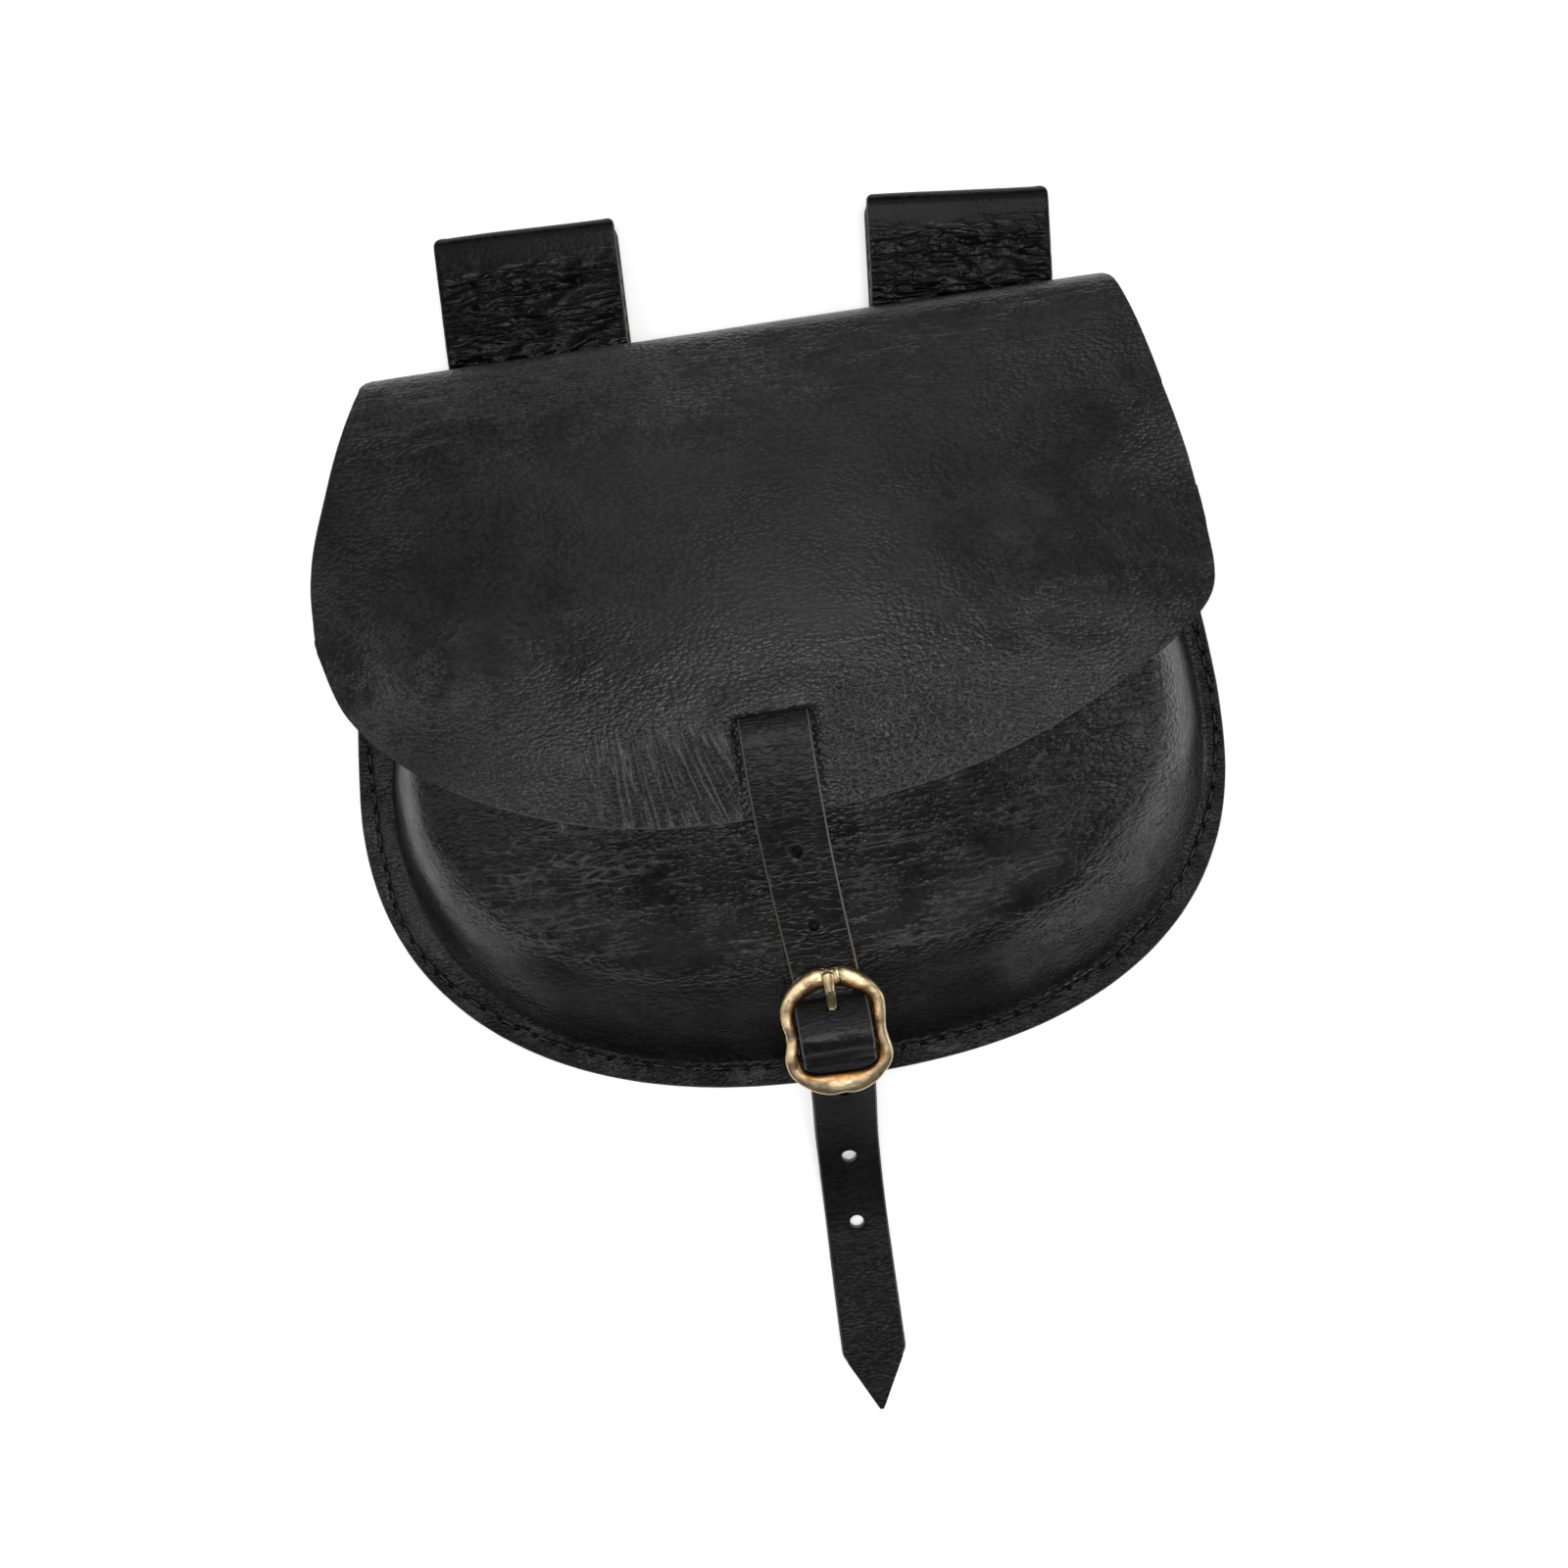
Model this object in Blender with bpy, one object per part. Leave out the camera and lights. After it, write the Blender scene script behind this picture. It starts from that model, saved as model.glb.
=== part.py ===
"""Leather belt pouch lying on its back: moulded front, folded flap, closing strap, brass buckle.

Metres, +Z up out of the front of the pouch, +Y towards the belt loops, +X to the right.
The origin is on the underside of the back panel, halfway along the pouch.
"""

import math
from typing import NamedTuple

import bmesh
import bpy
import numpy as np
from mathutils import Vector

# Leather thicknesses, and the gap between pieces that touch
LEATHER = 0.0020
STRAP_THICKNESS = 0.0020
LOOP_THICKNESS = 0.0022
TAB_THICKNESS = 0.0016
GAP = 0.0003

# Body: the flat outline that the back panel and the flange of the front share
BODY_WIDTH = 0.238
BODY_LENGTH = 0.204
BODY_WIDEST = -0.015
BODY_CURVE_LEFT = 2.25
BODY_CURVE_RIGHT = 2.45
BODY_FLARE = 1.5

# Ramp of the back panel over the sewn loops, as shares of the body length from the middle
RAMP_FOOT_SHARE = 0.06
RAMP_TOP_SHARE = 0.28

# Fold at the top, from which the flap comes over the front
FOLD_RADIUS = 0.0105
FOLD_WIDTH = 0.1975
FOLD_SHIFT = 0.0023
FOLD_CORNER = 0.0030
FOLD_CORNER_POWER = 8

# Moulded front
POUCH_DEPTH = 0.0562
MOUTH_SETBACK = 0.030
FLANGE = 0.0135
FLANGE_GAP = 0.0005
WALL_RUN = 0.031
ARCH_DROP = 0.016
ARCH_HALF_WIDTH = 0.088
ARCH_POWER = 2.2

# Flap
FLAP_NARROWER = 0.0052  # than the body
FLAP_SHIFT = -0.0012
FLAP_WIDEST = 0.032
FLAP_TIP = -0.0275
FLAP_EDGE_LIFT = 0.0007
FLAP_STRAIGHT_FROM = 0.080
FLAP_ARCH_START = 0.035

# Closing strap
STRAP_WIDTH = 0.0170
STRAP_SIDE_GAP = 0.0004
SLIT_PLACE = -0.0032
SLIT_LENGTH = 0.0050
SLIT_ANGLE = math.radians(58)
SLIT_BEND = 0.0017
ANCHOR_LENGTH = 0.014
ANCHOR_WIDTH = 0.027
ANCHOR_SHOULDER = 0.003
STEP_DOWN = 0.008
STRAP_LEAVES_FRONT = -0.0595
STRAP_LEAVING_ANGLE = math.radians(18)
TAIL_ANGLE = math.radians(42)
TAIL_DROP_LENGTH = 0.0555
TAIL_FLAT = 0.0488
TAIL_BEND = 0.018
TAIL_LANDING_BEND = 0.026
TIP_LENGTH = 0.0162
TIP_BLUNT = 0.0008
TIP_SHOULDER = 0.0177
TIP_WIDENING = 0.048
HOLE_DIAMETER = 0.0036
HOLE_PITCH = 0.0222

# Brass buckle
BUCKLE_WIDTH = 0.0268
BUCKLE_LENGTH = 0.0328
BUCKLE_THICKNESS = 0.0030
BUCKLE_BAR = 0.0029
BUCKLE_TILT = math.radians(9)
BUCKLE_REACH = 0.0093
CENTRE_BAR_DIAMETER = 0.0025
BAR_CORNER_REACH = 0.0052
TONGUE_WIDTH = 0.0026
TONGUE_THICKNESS = 0.0016
TONGUE_TIP_SHARE = 0.55
TONGUE_HOLE_LENGTH = 0.0070
TONGUE_HOLE_GAP = 0.00036

# Tab that carries the buckle, on the lower wall of the front
TAB_WIDTH = 0.0165
TAB_SEWN = 0.0110
TAB_RISE_ANGLE = math.radians(82)
TAB_BEND = 0.007
TAB_SLOT_LENGTH = 0.008

# Belt loops
LOOP_WIDTH = 0.0493
LOOP_LENGTH = 0.078
LOOP_ROOM = 0.0062
LOOP_BEND = 0.013
LOOP_TUCK = 0.0084

# How finely the sheets are divided
ACROSS_STEPS = 24
BACK_STEPS = 18
FOLD_STEPS = 8
FLAP_STEPS = 16
SIDE_RAYS = 14
ARC_RAYS = 28
TUBE_SIDES = 8
STRAP_MOST_TURN = math.radians(11)
STRAP_MOST_STEP = 0.0070
STRAP_LEAST_STEP = 0.0006


class DomeRow(NamedTuple):
    """Height of the front along its middle line."""

    along: float  # share of the body length from the middle, + towards the fold
    height: float  # share of the pouch depth


DOME = (
    DomeRow(0.360, 0.565),
    DomeRow(0.245, 0.750),
    DomeRow(0.122, 0.902),
    DomeRow(0.025, 0.985),
    DomeRow(-0.030, 1.000),
    DomeRow(-0.088, 0.983),
    DomeRow(-0.135, 0.942),
    DomeRow(-0.177, 0.888),
    DomeRow(-0.226, 0.812),
    DomeRow(-0.275, 0.735),
    DomeRow(-0.316, 0.668),
    DomeRow(-0.400, 0.500),
)


class WallRow(NamedTuple):
    """Where the moulded wall stands along the outline, from left round the bottom to right."""

    place: float  # 0 left, 0.5 bottom, 1 right
    foot: float  # share of FLANGE from the edge to the foot of the wall
    run: float  # share of WALL_RUN from the foot to the front face


WALL_PLACES = (
    WallRow(0.00, 1.00, 0.55),
    WallRow(0.20, 0.92, 0.62),
    WallRow(0.35, 0.68, 0.85),
    WallRow(0.50, 0.50, 1.00),
    WallRow(0.65, 0.46, 0.95),
    WallRow(0.80, 0.40, 0.82),
    WallRow(1.00, 0.36, 0.76),
)


class RiseRow(NamedTuple):
    """Section of the moulded wall."""

    across: float  # share of the wall's run from its foot
    rise: float  # share of its height


WALL_RISE = (
    RiseRow(0.00, 0.00),
    RiseRow(0.07, 0.035),
    RiseRow(0.16, 0.16),
    RiseRow(0.32, 0.43),
    RiseRow(0.50, 0.68),
    RiseRow(0.68, 0.86),
    RiseRow(0.86, 0.965),
    RiseRow(1.00, 1.00),
)

# Rings on the front face, as shares of the way from the wall to the middle of the mouth
FACE_RINGS = (0.14, 0.32, 0.52, 0.72, 0.88, 1.0)


class FlareRow(NamedTuple):
    """How the sides of the flap widen on their way down from the fold."""

    down: float  # share of the way from the fold to FLAP_WIDEST
    left: float  # share of the widening on the left
    right: float  # and on the right


FLAP_FLARE = (
    FlareRow(0.00, 0.00, 0.00),
    FlareRow(0.20, 0.28, 0.23),
    FlareRow(0.40, 0.56, 0.47),
    FlareRow(0.60, 0.86, 0.75),
    FlareRow(0.75, 1.00, 0.91),
    FlareRow(0.90, 1.03, 0.99),
    FlareRow(1.00, 1.00, 1.00),
)


class EdgeRow(NamedTuple):
    """Lower edge of the flap, from its left side round the tip to its right side."""

    place: float  # -1 left, 0 tip, 1 right
    aside: float  # share of half the flap width
    drop: float  # share of the way from FLAP_WIDEST down to FLAP_TIP


FLAP_EDGE = (
    EdgeRow(-1.000, -1.000, 0.000),
    EdgeRow(-0.875, -0.941, 0.294),
    EdgeRow(-0.750, -0.843, 0.515),
    EdgeRow(-0.625, -0.723, 0.690),
    EdgeRow(-0.500, -0.589, 0.822),
    EdgeRow(-0.375, -0.448, 0.919),
    EdgeRow(-0.250, -0.300, 0.976),
    EdgeRow(-0.125, -0.150, 0.997),
    EdgeRow(0.000, 0.000, 1.000),
    EdgeRow(0.125, 0.151, 0.986),
    EdgeRow(0.250, 0.302, 0.946),
    EdgeRow(0.375, 0.449, 0.877),
    EdgeRow(0.500, 0.592, 0.777),
    EdgeRow(0.625, 0.729, 0.650),
    EdgeRow(0.750, 0.866, 0.507),
    EdgeRow(0.875, 0.979, 0.312),
    EdgeRow(1.000, 1.000, 0.000),
)


class DriftRow(NamedTuple):
    """How the strap wanders sideways on its way down."""

    along: float  # share of the body length from the middle, + towards the fold
    aside: float  # share of the strap width, + to the right


STRAP_DRIFT = (
    DriftRow(0.07, -0.17),
    DriftRow(-0.08, -0.17),
    DriftRow(-0.18, -0.12),
    DriftRow(-0.27, -0.04),
    DriftRow(-0.34, 0.03),
    DriftRow(-0.42, 0.06),
    DriftRow(-0.48, 0.06),
    DriftRow(-0.58, 0.00),
    DriftRow(-0.76, -0.05),
    DriftRow(-0.96, -0.08),
)


# Punched holes along the strap, in pitches from the one that the tongue is in, + towards the tip
HOLE_PLACES = (-2.12, -1.18, 1.30, 2.56, 3.52)


class BuckleRow(NamedTuple):
    """Middle line of the buckle frame on its right half, from the top bar to the bottom bar."""

    across: float  # share of half the middle line's width
    along: float  # share of half the middle line's length, + towards the top bar
    bar: float  # share of BUCKLE_BAR


BUCKLE_OUTLINE = (
    BuckleRow(0.00, 1.00, 1.65),
    BuckleRow(0.28, 1.00, 1.75),
    BuckleRow(0.56, 0.93, 1.30),
    BuckleRow(0.80, 0.78, 1.05),
    BuckleRow(0.96, 0.56, 1.00),
    BuckleRow(0.99, 0.34, 1.00),
    BuckleRow(0.94, 0.13, 1.05),
    BuckleRow(0.93, -0.04, 1.10),
    BuckleRow(0.96, -0.20, 1.05),
    BuckleRow(1.00, -0.40, 1.00),
    BuckleRow(0.97, -0.62, 1.05),
    BuckleRow(0.80, -0.82, 1.10),
    BuckleRow(0.56, -0.93, 1.35),
    BuckleRow(0.28, -0.97, 1.85),
    BuckleRow(0.00, -0.96, 1.75),
)


class LoopPlace(NamedTuple):
    """Where a belt loop is sewn."""

    name: str
    middle: float  # share of half the body width
    reach: float  # share of LOOP_LENGTH that stands out above the fold
    lean: float  # radians, + leans to the left


LOOPS = (
    LoopPlace("belt_loop_left", -0.434, 0.494, math.radians(-2.6)),
    LoopPlace("belt_loop_right", 0.541, 0.407, math.radians(-5.5)),
)

CENTRE_BAR_ROW = 7

# Levels and places that follow from the sizes
CREST_Y = BODY_LENGTH / 2
MOUTH_Y = CREST_Y - MOUTH_SETBACK
LOOP_STACK = 2 * (LOOP_THICKNESS + GAP)
RAMP_TOP_Y = RAMP_TOP_SHARE * BODY_LENGTH
RAMP_FOOT_Y = RAMP_FOOT_SHARE * BODY_LENGTH
FLAP_LIFT = STRAP_THICKNESS + 2 * GAP
STRAP_HALF = STRAP_THICKNESS / 2
FLAP_HALF = (BODY_WIDTH - FLAP_NARROWER) / 2
CUTTER_DEPTH = 4 * LEATHER


def smooth(share):
    """Smooth step from 0 to 1, held at both ends."""
    share = min(max(share, 0.0), 1.0)
    return share * share * (3 - 2 * share)


def through(rows, at):
    """Value at a place on the smooth curve through (place, value) rows, straight past its ends."""
    rows = sorted(rows)
    places = [place for place, _ in rows]
    values = [value for _, value in rows]
    slopes = [
        (values[min(i + 1, len(rows) - 1)] - values[max(i - 1, 0)])
        / (places[min(i + 1, len(rows) - 1)] - places[max(i - 1, 0)])
        for i in range(len(rows))
    ]
    if at <= places[0]:
        return values[0] + slopes[0] * (at - places[0])
    if at >= places[-1]:
        return values[-1] + slopes[-1] * (at - places[-1])
    index = max(i for i in range(len(rows) - 1) if places[i] <= at)
    step = places[index + 1] - places[index]
    t = (at - places[index]) / step
    start = values[index] * (1 + 2 * t) * (1 - t) ** 2
    start += slopes[index] * step * t * (1 - t) ** 2
    end = values[index + 1] * t * t * (3 - 2 * t)
    end += slopes[index + 1] * step * t * t * (t - 1)
    return start + end


def material(name, colour, roughness, metallic):
    """Principled material of one colour."""
    made = bpy.data.materials.new(name)
    made.use_nodes = True
    made.diffuse_color = (*colour, 1.0)
    shader = made.node_tree.nodes["Principled BSDF"]
    shader.inputs["Base Color"].default_value = (*colour, 1.0)
    shader.inputs["Roughness"].default_value = roughness
    shader.inputs["Metallic"].default_value = metallic
    return made


def add_object(name, bm, finish, sharp=math.radians(40)):
    """Object made from a bmesh, shaded smooth between its sharp edges."""
    mesh = bpy.data.meshes.new(name)
    bm.to_mesh(mesh)
    bm.free()
    mesh.shade_smooth()
    mesh.set_sharp_from_angle(angle=sharp)
    obj = bpy.data.objects.new(name, mesh)
    obj.data.materials.append(finish)
    bpy.context.scene.collection.objects.link(obj)
    return obj


def thicken(obj, thickness, offset):
    """Give a sheet its thickness: offset -1 keeps the sheet as its outer side, 0 as its middle."""
    solidify = obj.modifiers.new("Thickness", "SOLIDIFY")
    solidify.thickness = thickness
    solidify.offset = offset
    solidify.use_even_offset = True
    solidify.use_rim = True


def cut(obj, cutter):
    """Cut one object out of another, and keep the cutter out of the model."""
    cutter.hide_render = True
    cutter.display_type = "WIRE"
    boolean = obj.modifiers.new("Cut", "BOOLEAN")
    boolean.operation = "DIFFERENCE"
    boolean.object = cutter


def mapped_grid(rows, columns, place, merge=0.0):
    """Grid whose point (row, column), each a share from 0 to 1, is moved to place(row, column)."""
    bm = bmesh.new()
    bmesh.ops.create_grid(bm, x_segments=columns, y_segments=rows, size=0.5)
    for vertex in bm.verts:
        vertex.co = place(vertex.co.y + 0.5, vertex.co.x + 0.5)
    if merge:
        bmesh.ops.remove_doubles(bm, verts=bm.verts, dist=merge)
    return bm


def back_underside(y):
    """Height of the back panel's underside: on the table, and over the sewn loops near the top."""
    return LOOP_STACK * smooth((y - RAMP_FOOT_Y) / (RAMP_TOP_Y - RAMP_FOOT_Y))


def dome_height(y):
    """Height of the front's outer side on its middle line."""
    rows = [(row.along * BODY_LENGTH, row.height * POUCH_DEPTH) for row in DOME]
    return through(rows, y)


def arch_drop(x):
    """How far the front lies lower at a distance from its middle line."""
    return ARCH_DROP * (abs(x) / ARCH_HALF_WIDTH) ** ARCH_POWER


def face_height(x, y):
    """Height of the front face, before the wall takes it down to the flange."""
    return dome_height(y) - arch_drop(x)


def body_half_width(y):
    """Half the width of the body between the fold and its widest line."""
    share = (CREST_Y - y) / (CREST_Y - BODY_WIDEST)
    return BODY_WIDTH / 2 - (BODY_WIDTH - FOLD_WIDTH) / 2 * (1 - share) ** BODY_FLARE


def body_shift(y):
    """Sideways shift of the body's middle, which the fold has and the widest line has not."""
    return FOLD_SHIFT * max(y - BODY_WIDEST, 0) / (CREST_Y - BODY_WIDEST)


def body_curve(side):
    """Exponent of the body's rounded lower edge on the left (side below 0) and on the right."""
    return BODY_CURVE_LEFT if side < 0 else BODY_CURVE_RIGHT


def arc_point(half_width, depth, curve, angle):
    """Point of a rounded lower edge: angle -90 deg is its left end, 0 the bottom, 90 its right end."""
    across = math.copysign(abs(math.sin(angle)) ** (2 / curve), angle) * half_width
    return across, -depth * max(math.cos(angle), 0.0) ** (2 / curve)


def body_row(share, across):
    """Point of the flat back panel: share 0 is the fold line, 1 the rounded lower edge."""
    fold_y = CREST_Y - FOLD_RADIUS
    side_y = fold_y + (BODY_WIDEST - fold_y) * share
    depth = (BODY_WIDEST + BODY_LENGTH / 2) * share
    x, drop = arc_point(body_half_width(side_y), depth, body_curve(across), across * math.pi / 2)
    return x + body_shift(side_y), side_y + drop


def flap_tangent():
    """Angle at which the flap leaves the fold, and where: the straight line that touches the fold."""
    middle_y = CREST_Y - FOLD_RADIUS
    middle_z = back_underside(middle_y) + FOLD_RADIUS
    start_y = MOUTH_Y
    start_z = dome_height(start_y) + FLAP_LIFT + LEATHER
    away = math.hypot(middle_y - start_y, middle_z - start_z)
    bearing = math.atan2(start_z - middle_z, middle_y - start_y)
    slope = bearing - math.asin(FOLD_RADIUS / away)
    return slope, middle_y, middle_z


def flap_lift(y):
    """Room between the front and the flap's underside on the middle line."""
    share = (y - FLAP_TIP) / (SLIT_PLACE - FLAP_TIP)
    return FLAP_EDGE_LIFT + (FLAP_LIFT - FLAP_EDGE_LIFT) * smooth(share)


def flap_height(x, y):
    """Height of the flap's outer side."""
    slope, middle_y, middle_z = flap_tangent()
    touch_y = middle_y + FOLD_RADIUS * math.sin(slope)
    touch_z = middle_z + FOLD_RADIUS * math.cos(slope)
    if y > MOUTH_Y:
        middle = touch_z + (touch_y - y) * math.tan(slope)
    else:
        middle = dome_height(y) + flap_lift(y) + LEATHER
    bent = min(abs(x), FLAP_STRAIGHT_FROM)
    side_slope = ARCH_POWER * arch_drop(bent) / max(bent, GAP)
    drop = arch_drop(bent) + side_slope * (abs(x) - bent)
    return middle - drop * smooth((touch_y - y) / (touch_y - FLAP_ARCH_START))


def flap_aside(across):
    """Share of half the flap's width at which a lengthwise line of the flap runs."""
    return through([(row.place, row.aside) for row in FLAP_EDGE], across)


def flap_row(share, across):
    """Point of the flap in plan: share 0 is where it leaves the fold, 1 its rounded lower edge."""
    slope, middle_y, _ = flap_tangent()
    touch_y = middle_y + FOLD_RADIUS * math.sin(slope)
    fold_half, fold_middle = body_half_width(touch_y), body_shift(touch_y)
    left = through([(row.down, row.left) for row in FLAP_FLARE], share)
    right = through([(row.down, row.right) for row in FLAP_FLARE], share)
    left_x = fold_middle - fold_half + left * (fold_half - fold_middle + FLAP_SHIFT - FLAP_HALF)
    right_x = fold_middle + fold_half + right * (FLAP_HALF + FLAP_SHIFT - fold_middle - fold_half)
    drop = through([(row.place, row.drop) for row in FLAP_EDGE], across)
    x = (left_x + right_x) / 2 + flap_aside(across) * (right_x - left_x) / 2
    return x, touch_y + (FLAP_WIDEST - touch_y + drop * (FLAP_TIP - FLAP_WIDEST)) * share


def sheet_point(row, column):
    """Outer side of the back panel, fold and flap, from the bottom edge round to the flap's edge."""
    across = 2 * column - 1
    total = BACK_STEPS + FOLD_STEPS + FLAP_STEPS
    step = row * total
    if step <= BACK_STEPS:
        x, y = body_row(1 - step / BACK_STEPS, across)
        return x, y, back_underside(y)
    slope, middle_y, middle_z = flap_tangent()
    if step < BACK_STEPS + FOLD_STEPS:
        turned = (step - BACK_STEPS) / FOLD_STEPS
        angle = turned * (math.pi - slope)
        y = middle_y + FOLD_RADIUS * math.sin(angle)
        half = body_half_width(y) - FOLD_CORNER * math.sin(angle) ** FOLD_CORNER_POWER
        start, _ = arc_point(1.0, 0.0, body_curve(across), across * math.pi / 2)
        aside = start + (flap_aside(across) - start) * turned
        return half * aside + body_shift(y), y, middle_z - FOLD_RADIUS * math.cos(angle)
    x, y = flap_row((step - BACK_STEPS - FOLD_STEPS) / FLAP_STEPS, across)
    return x, y, flap_height(x, y)


def make_back_and_flap(finish):
    """Back panel and flap, one piece of leather folded over at the top, with the strap's slit."""
    rows = BACK_STEPS + FOLD_STEPS + FLAP_STEPS
    bm = mapped_grid(rows, ACROSS_STEPS, sheet_point)
    bm.faces.ensure_lookup_table()
    if bm.faces[0].normal.z > 0:
        bmesh.ops.reverse_faces(bm, faces=bm.faces)
    sheet = add_object("back_and_flap", bm, finish)
    thicken(sheet, LEATHER, -1)
    height = flap_height(0, SLIT_PLACE)
    size = (STRAP_WIDTH + 2 * STRAP_SIDE_GAP, SLIT_LENGTH, CUTTER_DEPTH)
    place = (strap_aside(SLIT_PLACE), SLIT_PLACE, height - LEATHER / 2)
    cut(sheet, make_box("slit_cutter", size, place, 0.0, finish))
    return sheet


def outline_point(place):
    """Point of the body's outline from the left end of the mouth (0) round the bottom to the right (1)."""
    total = 2 * SIDE_RAYS + ARC_RAYS
    step = place * total
    if SIDE_RAYS <= step <= SIDE_RAYS + ARC_RAYS:
        angle = ((step - SIDE_RAYS) / ARC_RAYS - 0.5) * math.pi
        depth = BODY_WIDEST + BODY_LENGTH / 2
        x, drop = arc_point(BODY_WIDTH / 2, depth, body_curve(angle), angle)
        return x, BODY_WIDEST + drop
    side = min(step, total - step) / SIDE_RAYS
    y = MOUTH_Y + (BODY_WIDEST - MOUTH_Y) * side
    sign = -1 if step < SIDE_RAYS else 1
    return sign * body_half_width(y) + body_shift(y), y


def front_rings():
    """Rings of the moulded front as (zone, share): the flange, the wall and the face."""
    rings = [("flange", 0.0), ("flange", 0.5)]
    rings += [("wall", row.across) for row in WALL_RISE]
    return rings + [("face", share) for share in FACE_RINGS]


def front_point(place, ring):
    """Outer side of the moulded front on one ray from its edge to the middle of the mouth."""
    edge = np.array(outline_point(place))
    pole = np.array((body_shift(MOUTH_Y), MOUTH_Y))
    ray = pole - edge
    length = np.hypot(*ray)
    foot = FLANGE * through([(row.place, row.foot) for row in WALL_PLACES], place)
    run = WALL_RUN * through([(row.place, row.run) for row in WALL_PLACES], place)
    zone, share = ring
    if zone == "flange":
        inward = foot * share
    elif zone == "wall":
        inward = foot + run * share
    else:
        inward = foot + run + (length - foot - run) * share
    x, y = edge + ray * (inward / length)
    flange_top = back_underside(y) + LEATHER + FLANGE_GAP + LEATHER
    if zone == "flange":
        return x, y, flange_top
    rise = through([(row.across, row.rise) for row in WALL_RISE], share) if zone == "wall" else 1.0
    return x, y, flange_top + (face_height(x, y) - flange_top) * rise


def make_pouch_front(finish):
    """Moulded front with its flange, open at the mouth under the flap."""
    rings = front_rings()
    rays = 2 * SIDE_RAYS + ARC_RAYS

    def place(row, column):
        return front_point(column, rings[round(row * (len(rings) - 1))])

    bm = mapped_grid(len(rings) - 1, rays, place, merge=1e-5)
    bm.faces.ensure_lookup_table()
    if bm.faces[0].normal.z < 0:
        bmesh.ops.reverse_faces(bm, faces=bm.faces)
    front = add_object("pouch_front", bm, finish)
    thicken(front, LEATHER, -1)
    return front


def buckle_point(along, above):
    """Side-view point (y, z) from the buckle's own directions, measured from its top bar."""
    leave_y = STRAP_LEAVES_FRONT
    leave_z = face_height(0, leave_y) + GAP + STRAP_HALF
    cos_leave, sin_leave = math.cos(STRAP_LEAVING_ANGLE), math.sin(STRAP_LEAVING_ANGLE)
    clear = bar_support(BUCKLE_TILT - STRAP_LEAVING_ANGLE) + strap_clearance()
    bar_y = leave_y - cos_leave * BUCKLE_REACH - sin_leave * clear
    bar_z = leave_z - sin_leave * BUCKLE_REACH + cos_leave * clear
    cos_tilt, sin_tilt = math.cos(BUCKLE_TILT), math.sin(BUCKLE_TILT)
    y = bar_y - along * cos_tilt - above * sin_tilt
    return y, bar_z - along * sin_tilt + above * cos_tilt


def strap_clearance():
    """From a bar's surface to the middle of the strap that passes it."""
    return GAP + STRAP_HALF


def bar_support(heading):
    """From the middle of a frame bar to a strap surface that touches it under its corners."""
    across = BAR_CORNER_REACH * math.sin(heading)
    return math.hypot(across, BUCKLE_THICKNESS / 2 * math.cos(heading))


def wrap_radius():
    """Outer radius of the tab where it wraps the centre bar."""
    return CENTRE_BAR_DIAMETER / 2 + GAP + TAB_THICKNESS


def buckle_half_length():
    """Half the length of the buckle's middle line, from bar to bar."""
    return (BUCKLE_LENGTH - BUCKLE_BAR * BUCKLE_OUTLINE[0].bar) / 2


def centre_bar_along():
    """Where the centre bar lies, from the top bar."""
    return buckle_half_length() * (1 - BUCKLE_OUTLINE[CENTRE_BAR_ROW].along)


def bottom_bar_along():
    """Where the bottom bar lies, from the top bar."""
    return buckle_half_length() * (1 - BUCKLE_OUTLINE[-1].along)


def under_bar(centre, start, end):
    """Points of the strap bent under a frame bar, as its heading turns from start to end."""
    points = []
    for heading in np.linspace(start, end, 13):
        support = bar_support(heading)
        along = BAR_CORNER_REACH**2 * math.sin(heading) / support
        below = (BUCKLE_THICKNESS / 2) ** 2 * math.cos(heading) / support
        along += strap_clearance() * math.sin(heading)
        below += strap_clearance() * math.cos(heading)
        points.append(buckle_point(centre + along, -below))
    return points


def over_wrap(centre, start, end):
    """Points of the strap bent over the wrapped centre bar, as its heading turns from start to end."""
    radius = wrap_radius() + strap_clearance()
    points = []
    for heading in np.linspace(start, end, 13):
        points.append(buckle_point(centre - radius * math.sin(heading), radius * math.cos(heading)))
    return points


def crossing_heading(distance):
    """Heading of the strap where it runs straight between a frame bar and the centre bar."""
    heading = 0.5
    for _ in range(30):
        rise = bar_support(heading) + wrap_radius() + 2 * strap_clearance()
        heading = math.asin(min(rise / distance, 0.99))
    return heading


def weave_path():
    """Middle of the strap through the buckle: under, over the centre bar and under again."""
    centre, bottom = centre_bar_along(), bottom_bar_along()
    up = crossing_heading(centre)
    down = crossing_heading(bottom - centre)
    points = under_bar(0.0, BUCKLE_TILT - STRAP_LEAVING_ANGLE, up)
    points += over_wrap(centre, up, -down)
    return points + under_bar(bottom, -down, BUCKLE_TILT - TAIL_ANGLE)


def slit_bend(along, rise):
    """Rise of the strap at a distance past the slit's middle: a bend, a straight run and a bend."""
    in_bend = SLIT_BEND * (1 - math.cos(SLIT_ANGLE))
    straight = (rise / 2 - in_bend) / math.tan(SLIT_ANGLE)
    from_middle = abs(along)
    if from_middle < straight:
        lifted = from_middle * math.tan(SLIT_ANGLE)
    else:
        left = max(straight + SLIT_BEND * math.sin(SLIT_ANGLE) - from_middle, 0.0)
        lifted = rise / 2 - SLIT_BEND + math.sqrt(SLIT_BEND**2 - left**2)
    return rise / 2 + math.copysign(lifted, along)


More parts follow.
